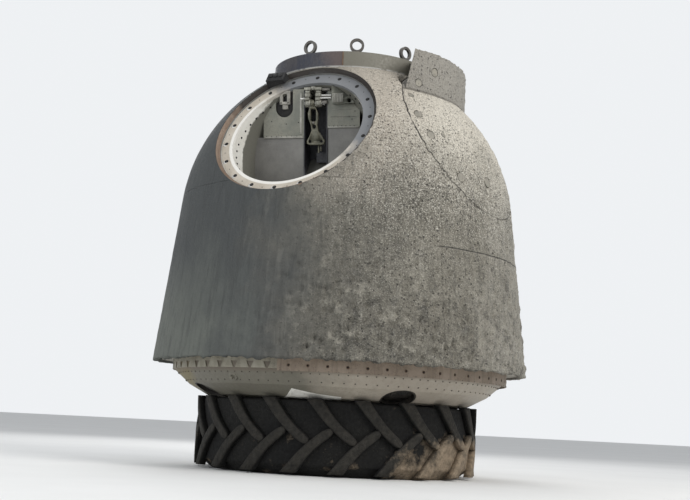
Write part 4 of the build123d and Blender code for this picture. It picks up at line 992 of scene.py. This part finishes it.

# Main parachute container: a white-painted drum with a bolted flange, let into the shield. The step
# of shield round the flange is scorched brown. Inside, the drum's white turns grey beyond a ragged line,
# and deeper in it is painted darker as shade.
chute_lie = facing(chute_az, chute_el, 0.0)
chute_way = chute_lie.col[2].to_3d()
chute_mouth = 0.822
flange_paint = finish("flange_paint", (0.55, 0.50, 0.425), (0.44, 0.39, 0.32), (0.16, 0.12, 0.085),
                      rough=(0.45, 0.65), scale=6.0, runs=0.15, specks=0.3, bump=0.0005)
tree = flange_paint.node_tree
place, x, y, z = coordinates(tree)
patches = noise_at(tree, place, 5.0, 6.0, 0.65)
# Its upper right is painted a colder grey as shadow, and outside that shadow its inner and outer
# edges are painted near-white as highlights
shadow_side = waver(tree, combine(tree, "ADD", x, z), patches, 0.8)
lit_side = spread_value(tree, shadow_side, 1.45, 1.65, 1.0, 0.0)
tint(flange_paint, spread_value(tree, shadow_side, 1.56, 1.78, 0.0, 0.92), (0.165, 0.175, 0.19))
along, off_axis = about_axis(tree, place, chute_way)
mouth_edge_highlight = multiply(tree, spread_value(tree, off_axis, 0.402, 0.397), lit_side)
tint(flange_paint, mouth_edge_highlight, (0.76, 0.74, 0.69))
outer_edge_highlight = multiply(tree, spread_value(tree, off_axis, 0.4445, 0.4465), lit_side)
tint(flange_paint, outer_edge_highlight, (0.80, 0.77, 0.70))
drum_paint = finish("drum_paint", (0.80, 0.79, 0.74), (0.70, 0.68, 0.62), (0.2, 0.16, 0.12),
                    rough=(0.4, 0.6), scale=7.0, runs=0.1, specks=0.25, bump=0.0005)
tree = drum_paint.node_tree
place, x, y, z = coordinates(tree)
along, off_axis = about_axis(tree, place, chute_way)
ragged = waver(tree, along, noise_at(tree, place, 12.0, 6.0, 0.7), 0.06)
ragged = combine(tree, "SUBTRACT", ragged, multiply(tree, combine(tree, "SUBTRACT", z, 1.75), 0.3))
tint(drum_paint, spread_value(tree, ragged, 0.706, 0.698), (0.145, 0.142, 0.12))
# Deeper in the drum the wall is painted darker as shade
tint(drum_paint, spread_value(tree, ragged, 0.62, 0.50, 0.0, 0.7), (0.07, 0.068, 0.06))
dress(flange_paint, "chute_flange")
dress(drum_paint, "chute_drum")

liner_form = bmesh.new()
liner_points = (
    # reach from the container's axis, distance from the ball's centre
    (0.4494, 0.8325), (0.4664, 0.8235), (0.4664, 0.8558),
    (0.4652, 0.8558), (0.4652, 0.8252), (0.4500, 0.8334),
)
corners = [liner_form.verts.new((reach, 0.0, along)) for reach, along in liner_points]
for one, two in zip(corners, corners[1:] + corners[:1]):
    liner_form.edges.new((one, two))
turn_round(liner_form, 360.0, 160)
bmesh.ops.transform(liner_form, matrix=chute_lie, verts=liner_form.verts[:])
liner_scorch = finish("liner_scorch", (0.20, 0.14, 0.10), (0.30, 0.225, 0.17), (0.04, 0.028, 0.02),
                      rough=(0.6, 0.85), scale=10.0, runs=0.1, specks=0.45, bump=0.001)
tree = liner_scorch.node_tree
place, x, y, z = coordinates(tree)
# The step's upper right is painted near-black as shade
shaded_upper_right = waver(tree, combine(tree, "ADD", x, z), noise_at(tree, place, 9.0), 0.5)
tint(liner_scorch, spread_value(tree, shaded_upper_right, 1.2, 1.45, 0.0, 0.98), (0.02, 0.016, 0.013))
make_piece("container_step", liner_form, liner_scorch)

# The flange's eighteen bolt sockets, and a small pin hole between each two, are near-black discs of
# painted shade, and those on the left have a dab of white paint beside them. Inside, a row of dark rivets
# holds the drum's lip.
socket_form = bmesh.new()
dab_form = bmesh.new()
for number in range(18):
    angle = radians(90.0 + 20.0 * number)
    spot = Matrix.Translation((0.422 * cos(angle), 0.422 * sin(angle), chute_mouth))
    rod(socket_form, chute_lie @ spot, 0.0112, -0.004, 0.0012, 20)
    if 3 <= number <= 10:
        beside = chute_lie @ spot @ Matrix.Translation((-0.0060, -0.0055, 0.0))
        rod(dab_form, beside, 0.0132, -0.002, 0.0005, 24)
    half_way = angle + radians(10.0)
    spot = Matrix.Translation((0.424 * cos(half_way), 0.424 * sin(half_way), chute_mouth))
    rod(socket_form, chute_lie @ spot, 0.0030, -0.002, 0.0006, 12)
make_piece("flange_sockets", socket_form, rivet_black_and_hole_shade)
dab_white = finish("dab_white", (0.8, 0.79, 0.76), (0.7, 0.68, 0.64), (0.2, 0.17, 0.14), rough=(0.5, 0.7),
                   scale=40.0, bump=0.0001)
make_piece("flange_dabs", dab_form, dab_white)

lip_form = bmesh.new()
for number in range(45):
    angle = radians(8.0 * number)
    spot = chute_lie @ Vector((0.3812 * cos(angle), 0.3812 * sin(angle), 0.768))
    bmesh.ops.create_icosphere(lip_form, subdivisions=2, radius=0.0062, matrix=Matrix.Translation(spot))
make_piece("drum_rivets", lip_form, rivet_black_and_hole_shade)

# Rack in the container: bare grey alloy plates each side of a dark channel, riveted along their edges to
# the drum's frame, with bright strips along the edges that show.
plate_grey = finish("plate_grey", (0.15, 0.155, 0.13), (0.225, 0.22, 0.18), (0.055, 0.05, 0.04), metal=0.1,
                    rough=(0.45, 0.65), scale=11.0, runs=0.15, specks=0.35, bump=0.0005)
panel_grey = finish("panel_grey", (0.215, 0.21, 0.195), (0.165, 0.16, 0.15), (0.08, 0.07, 0.06), metal=0.1,
                    rough=(0.45, 0.65), scale=9.0, runs=0.1, specks=0.2, bump=0.0004)
channel_dark = finish("channel_dark", (0.016, 0.017, 0.02), (0.032, 0.032, 0.036), (0.01, 0.009, 0.008),
                      metal=0.1, rough=(0.5, 0.75), scale=10.0)
tree = channel_dark.node_tree
place, x, y, z = coordinates(tree)
paler_foot = combine(tree, "ADD", z, multiply(tree, noise_at(tree, place, 12.0), 0.05))
tint(channel_dark, spread_value(tree, paler_foot, 1.74, 1.70, 0.0, 0.9), (0.13, 0.13, 0.14))
dress(plate_grey, "chute_plate_left", "chute_plate_right")
dress(panel_grey, "chute_panel_left", "chute_panel_right")
dress(channel_dark, "link_channel")

rack_az, rack_el = -15.0, -10.0
rack_way = direction(rack_az, rack_el)
rack_lie = stand_on(chute_lie @ Vector((0.0, 0.360, 0.783)), tangent(rack_az), rack_way)


def on_rack(u, v, proud=0.0):
    """Matrix of a place on the rack's plane, in millimetres along and up it."""
    return rack_lie @ Matrix.Translation((u / 1000.0, v / 1000.0, proud / 1000.0))


def block(form, u, v, low, high, width, tall, bevel=0.0015, segments=2):
    """Adds a bevelled block to the rack: its middle, its far and near faces and its size, in millimetres."""
    size = Matrix.Diagonal((width / 1000.0, tall / 1000.0, (high - low) / 1000.0, 1.0))
    made = bmesh.ops.create_cube(form, size=1.0, matrix=on_rack(u, v, (low + high) / 2) @ size)["verts"]
    edges = {edge for vert in made for edge in vert.link_edges}
    bmesh.ops.bevel(form, geom=list(edges), offset=bevel, segments=segments, profile=0.5, affect="EDGES",
                    material=-1)


rack_rivets = bmesh.new()
left_row = [(u, -256, 0.0036) for u in range(-300, -90, 30)]
right_row = [(u, -202, 0.0034) for u in range(74, 240, 24)]
single_rivets = (
    (-270, -170, 0.0036), (-182, -186, 0.0036), (-110, -178, 0.0036),
    (222, -120, 0.0036), (205, -165, 0.0036), (160, -30, 0.0036),
)
for u, v, reach in (*left_row, *right_row, *single_rivets):
    bmesh.ops.create_icosphere(rack_rivets, subdivisions=1, radius=reach, matrix=on_rack(u, v))
make_piece("rack_rivets", rack_rivets, rivet_black_and_hole_shade)

strip_form = bmesh.new()
block(strip_form, -198, -262, 0.4, 3.0, 228, 11)
block(strip_form, -95, -128, 0.3, 3.5, 13, 236)
block(strip_form, 155, -208, 0.4, 3.0, 182, 9)
block(strip_form, 155, -150, 0.2, 1.2, 150, 3)
block(strip_form, 150, -108, 0.2, 1.2, 120, 3)
rack_edge = finish("rack_edge", (0.34, 0.33, 0.29), (0.24, 0.235, 0.21), (0.08, 0.07, 0.06), metal=0.2,
                   rough=(0.4, 0.6), scale=20.0, specks=0.4, bump=0.0004)
make_piece("rack_strips", strip_form, rack_edge)

# The right plate's top is a raised pad with a sight hole, cut to the drum, and a finned casting on it
pad_form = bmesh.new()
block(pad_form, 170, -22, 0.3, 36.0, 150, 116)
pad = make_piece("sight_pad", pad_form, plate_grey)
cut_with(pad, round_cutter("drum_room", (chute_lie, 0.3785, 0.3, 0.815, 120)), "INTERSECT")
cut_with(pad, round_cutter("sight_cut", (on_rack(198, -62), 0.0130, 0.004, 0.06, 32)))
fin_form = bmesh.new()
block(fin_form, 134, -48, 35.0, 42.0, 60, 52)
for number in range(7):
    block(fin_form, 108 + 8.7 * number, -48, 41.0, 50.0, 5.6, 50)
make_piece("finned_block", fin_form, rack_edge)
# A near-black disc at the foot of the sight hole and a near-black dot on the plate are painted shade
sight_form = bmesh.new()
rod(sight_form, on_rack(198, -62), 0.0128, 0.003, 0.006, 32)
rod(sight_form, on_rack(188, -150), 0.0040, 0.0, 0.0008, 16)
make_piece("sight_hole_shade", sight_form, rivet_black_and_hole_shade)

# Latch in the left plate's cut-out: a cast alloy frame on a short stem, screwed down over a well that
# goes back behind the plate. The well is a near-black block of painted shade.
latch_form = bmesh.new()
latch_bars = ((-211, -38, 19, 74), (-168, -38, 19, 74), (-189, -8, 62, 19), (-189, -68, 62, 17))
for u, v, width, tall in latch_bars:
    block(latch_form, u, v, -6.0, 9.0, width, tall, 0.003, 3)
block(latch_form, -189, -88, -8.0, 1.0, 34, 30, 0.003, 3)
latch_metal = finish("latch_metal", (0.30, 0.285, 0.25), (0.20, 0.19, 0.17), (0.07, 0.06, 0.05), metal=0.3,
                     rough=(0.4, 0.6), scale=30.0, specks=0.4, bump=0.0006)
latch = make_piece("chute_latch_cast", latch_form, latch_metal)
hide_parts("chute_latch")
# Painted shade: a near-black block fills the well
well_form = bmesh.new()
block(well_form, -194, -72, -30.0, -9.0, 108, 150)
make_piece("latch_well_shade", well_form, rivet_black_and_hole_shade)

# Clevis, cross pin and link: forged alloy that held the parachute's riser. Each cheek is a stack of steps
# with a round boss, and the waisted link hangs between them on a pin with bright ends.
clevis_metal = finish("clevis_metal", (0.30, 0.295, 0.255), (0.17, 0.165, 0.135), (0.04, 0.034, 0.028),
                      metal=0.35, rough=(0.35, 0.6), scale=22.0, specks=0.4, bump=0.0006)
across_rack = Matrix.Rotation(pi / 2, 4, "Y")
clevis_form = bmesh.new()
for left, right in ((-68.0, -34.0), (-6.0, 30.0)):
    middle, width = (left + right) / 2, right - left
    block(clevis_form, middle, 8, -96.0, 30.0, width + 5.0, 17, 0.004, 3)
    block(clevis_form, middle, -8, -96.0, 22.0, width - 9.0, 14, 0.002, 2)
    block(clevis_form, middle, -27, -96.0, 27.0, width - 3.0, 22, 0.004, 3)
    block(clevis_form, middle - 3.0, -48, -96.0, 24.0, width - 8.0, 18, 0.003, 2)
    block(clevis_form, middle, -72, -98.0, 22.0, width - 5.0, 28, 0.007, 3)
    boss = on_rack(middle - width / 2 + 1.0, -72) @ across_rack
    rod(clevis_form, boss, 0.023, 0.0, (width - 2.0) / 1000.0, 32)
block(clevis_form, -20, 12, -90.0, 20.0, 24, 20, 0.004, 3)
clevis = make_piece("link_clevis_forged", clevis_form, clevis_metal)
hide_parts("link_clevis")
arm_form = bmesh.new()
block(arm_form, 58, 4, -40.0, 20.0, 50, 15, 0.004, 3)
block(arm_form, 48, -68, -60.0, 18.0, 30, 20, 0.005, 3)
rod(arm_form, on_rack(-18, -184, 8.0), 0.0075, 0.0, 0.006, 20)
make_piece("clevis_arms", arm_form, fitting_metal)

pin_form = bmesh.new()
rod(pin_form, on_rack(-71, -72) @ across_rack, 0.010, 0.0, 0.121, 32)
for u, reach, wide in ((-71, 0.0155, 0.006), (42, 0.0155, 0.007)):
    rod(pin_form, on_rack(u, -72) @ across_rack, reach, 0.0, wide, 6)
rod(pin_form, on_rack(-98, -45) @ across_rack, 0.007, 0.0, 0.032, 24)
bevel_sharp(pin_form, 0.0012, 0.8)
bright_steel = finish("bright_steel", (0.62, 0.61, 0.58), (0.48, 0.47, 0.44), (0.12, 0.1, 0.085), metal=0.6,
                      rough=(0.3, 0.5), scale=14.0)
pin = make_piece("cross_pin_turned", pin_form, bright_steel)
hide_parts("cross_pin")
dress(bright_steel, "release_pins")

link_form = bmesh.new()
link_outline = (
    (-40, -62), (-12, -62), (-8, -92), (8, -128), (10, -160), (4, -196), (10, -228), (34, -262), (48, -284),
    (46, -304), (30, -309), (-38, -309), (-56, -302), (-58, -284), (-42, -258), (-30, -226), (-36, -192),
    (-50, -158), (-52, -128), (-42, -92),
)
outer = [link_form.verts.new(rack_lie @ Vector((u / 1000.0, v / 1000.0, -0.009))) for u, v in link_outline]
draw_out(link_form, outer, rack_way * 0.020)
bmesh.ops.recalc_face_normals(link_form, faces=link_form.faces[:])
bevel_sharp(link_form, 0.004, 1.2, 3)
rod(link_form, on_rack(-38, -72) @ across_rack, 0.022, 0.0, 0.024, 40)
link_metal = finish("link_metal", (0.075, 0.075, 0.055), (0.16, 0.15, 0.108), (0.03, 0.026, 0.02), metal=0.3,
                    rough=(0.35, 0.6), scale=26.0, specks=0.4, bump=0.0006)
link = make_piece("riser_link_forged", link_form, link_metal)
tool_form = bmesh.new()
block(tool_form, -19, -140, -40.0, 40.0, 32, 70, 0.008, 3)
rod(tool_form, on_rack(-14, -205), 0.0115, -0.04, 0.04, 32)
rod(tool_form, on_rack(-38, -288), 0.0085, -0.04, 0.04, 24)
rod(tool_form, on_rack(30, -288), 0.0085, -0.04, 0.04, 24)
eye_cut = cutter("eye_cut", tool_form)
cut_with(link, eye_cut)
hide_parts("riser_link")
tail_form = bmesh.new()
block(tail_form, 6, -330, -22.0, -14.0, 8, 44)
block(tail_form, 20, -326, -22.0, -14.0, 6, 34)
make_piece("link_tail", tail_form, link_metal)

box_black = finish("box_black", (0.005, 0.005, 0.006), (0.009, 0.009, 0.010), (0.03, 0.027, 0.024),
                   rough=(0.6, 0.8), scale=20.0, specks=0.3, bump=0.0004)
dress(box_black, "edge_box")
caps_form = bmesh.new()
box_lie = facing(chute_az, chute_el, 0.822)
for along in (-0.262, -0.232, -0.202):
    rod(caps_form, box_lie @ Matrix.Translation((along, 0.390, 0.070)), 0.014, 0.0, 0.006, 24)
make_piece("edge_box_caps", caps_form, box_black)

# Top ring and hatch: a machined ring that carried the docking side, its lifting eyes, and the crew
# hatch that opens inwards on a hinge. The ring is blue-black on the left, then scorched brown, and olive
# from its joint to the right.
ring_paint = finish("ring_paint", (0.021, 0.024, 0.038), (0.040, 0.037, 0.042), (0.10, 0.085, 0.07),
                    metal=0.1, rough=(0.45, 0.7), scale=6.0, runs=0.3, specks=0.3)
tree = ring_paint.node_tree
place, x, y, z = coordinates(tree)
brown_side = waver(tree, x, noise_at(tree, place, 6.0), 0.25)
tint(ring_paint, spread_value(tree, brown_side, -0.20, -0.12), (0.085, 0.066, 0.062))
tint(ring_paint, spread_value(tree, x, -0.069, -0.063), (0.142, 0.134, 0.108))
scrapes = spread_value(tree, noise_at(tree, place, 24.0), 0.35, 0.5)
scraped = multiply(tree, spread_value(tree, z, 2.283, 2.277), scrapes)
tint(ring_paint, scraped, (0.36, 0.35, 0.33))
# Where the ring's lower wall shows in the container's opening it is painted near-black as shade
shade_in_opening = multiply(tree, spread_value(tree, z, 2.272, 2.266), spread_value(tree, x, -0.03, -0.08))
tint(ring_paint, shade_in_opening, (0.02, 0.017, 0.014))
eye_steel = finish("eye_steel", (0.12, 0.115, 0.105), (0.08, 0.075, 0.07), (0.05, 0.03, 0.02), metal=0.7,
                   rough=(0.4, 0.6), scale=20.0)
hatch_paint = finish("hatch_paint", (0.42, 0.42, 0.4), (0.34, 0.335, 0.31), (0.12, 0.1, 0.08), metal=0.2,
                     rough=(0.4, 0.6), scale=7.0)
dress(ring_paint, "top_ring")
dress(eye_steel, "lifting_eyes", "hinge_ears", "hinge_pin", "hinge_arm")
dress(hatch_paint, "hatch_lid")
dress(bright_steel, "hatch_handwheel", "latch_dogs")

# The ring's two joints, the studs of the seat inside it, and the hatch's rubber seal
joint_form = bmesh.new()
for az in (-8.0, 172.0):
    lie = turned_to(az, spot_at(az, ring_r + 0.0005, 2.322))
    bmesh.ops.create_cube(joint_form, size=1.0, matrix=lie @ Matrix.Diagonal((0.007, 0.004, 0.080, 1.0)))
bmesh.ops.bevel(joint_form, geom=joint_form.edges[:], offset=0.001, segments=2, profile=0.5, affect="EDGES",
                material=-1)
make_piece("ring_joints", joint_form, rust_ring)
stud_form = bmesh.new()
for number in range(24):
    az = 15.0 * number + 7.5
    if not -60.0 < (az + 180.0) % 360.0 - 180.0 < 10.0:
        bmesh.ops.create_cone(stud_form, cap_ends=True, segments=6, radius1=0.011, radius2=0.010, depth=0.020,
                              matrix=Matrix.Translation(spot_at(az, 0.415, 2.2397)))
make_piece("seat_studs", stud_form, eye_steel)
seal_section = ((0.302, 2.2398), (0.318, 2.2398), (0.316, 2.2468), (0.304, 2.2468))
seal_form = spin_section(seal_section, steps=96, round_by=0.002)
seal_rubber = finish("seal_rubber", (0.02, 0.02, 0.02), (0.035, 0.034, 0.032), (0.08, 0.075, 0.065),
                     rough=(0.6, 0.8), scale=14.0, bump=0.0003)
make_piece("hatch_seat_seal", seal_form, seal_rubber)

for tool in cutters:
    bpy.data.objects.remove(tool)
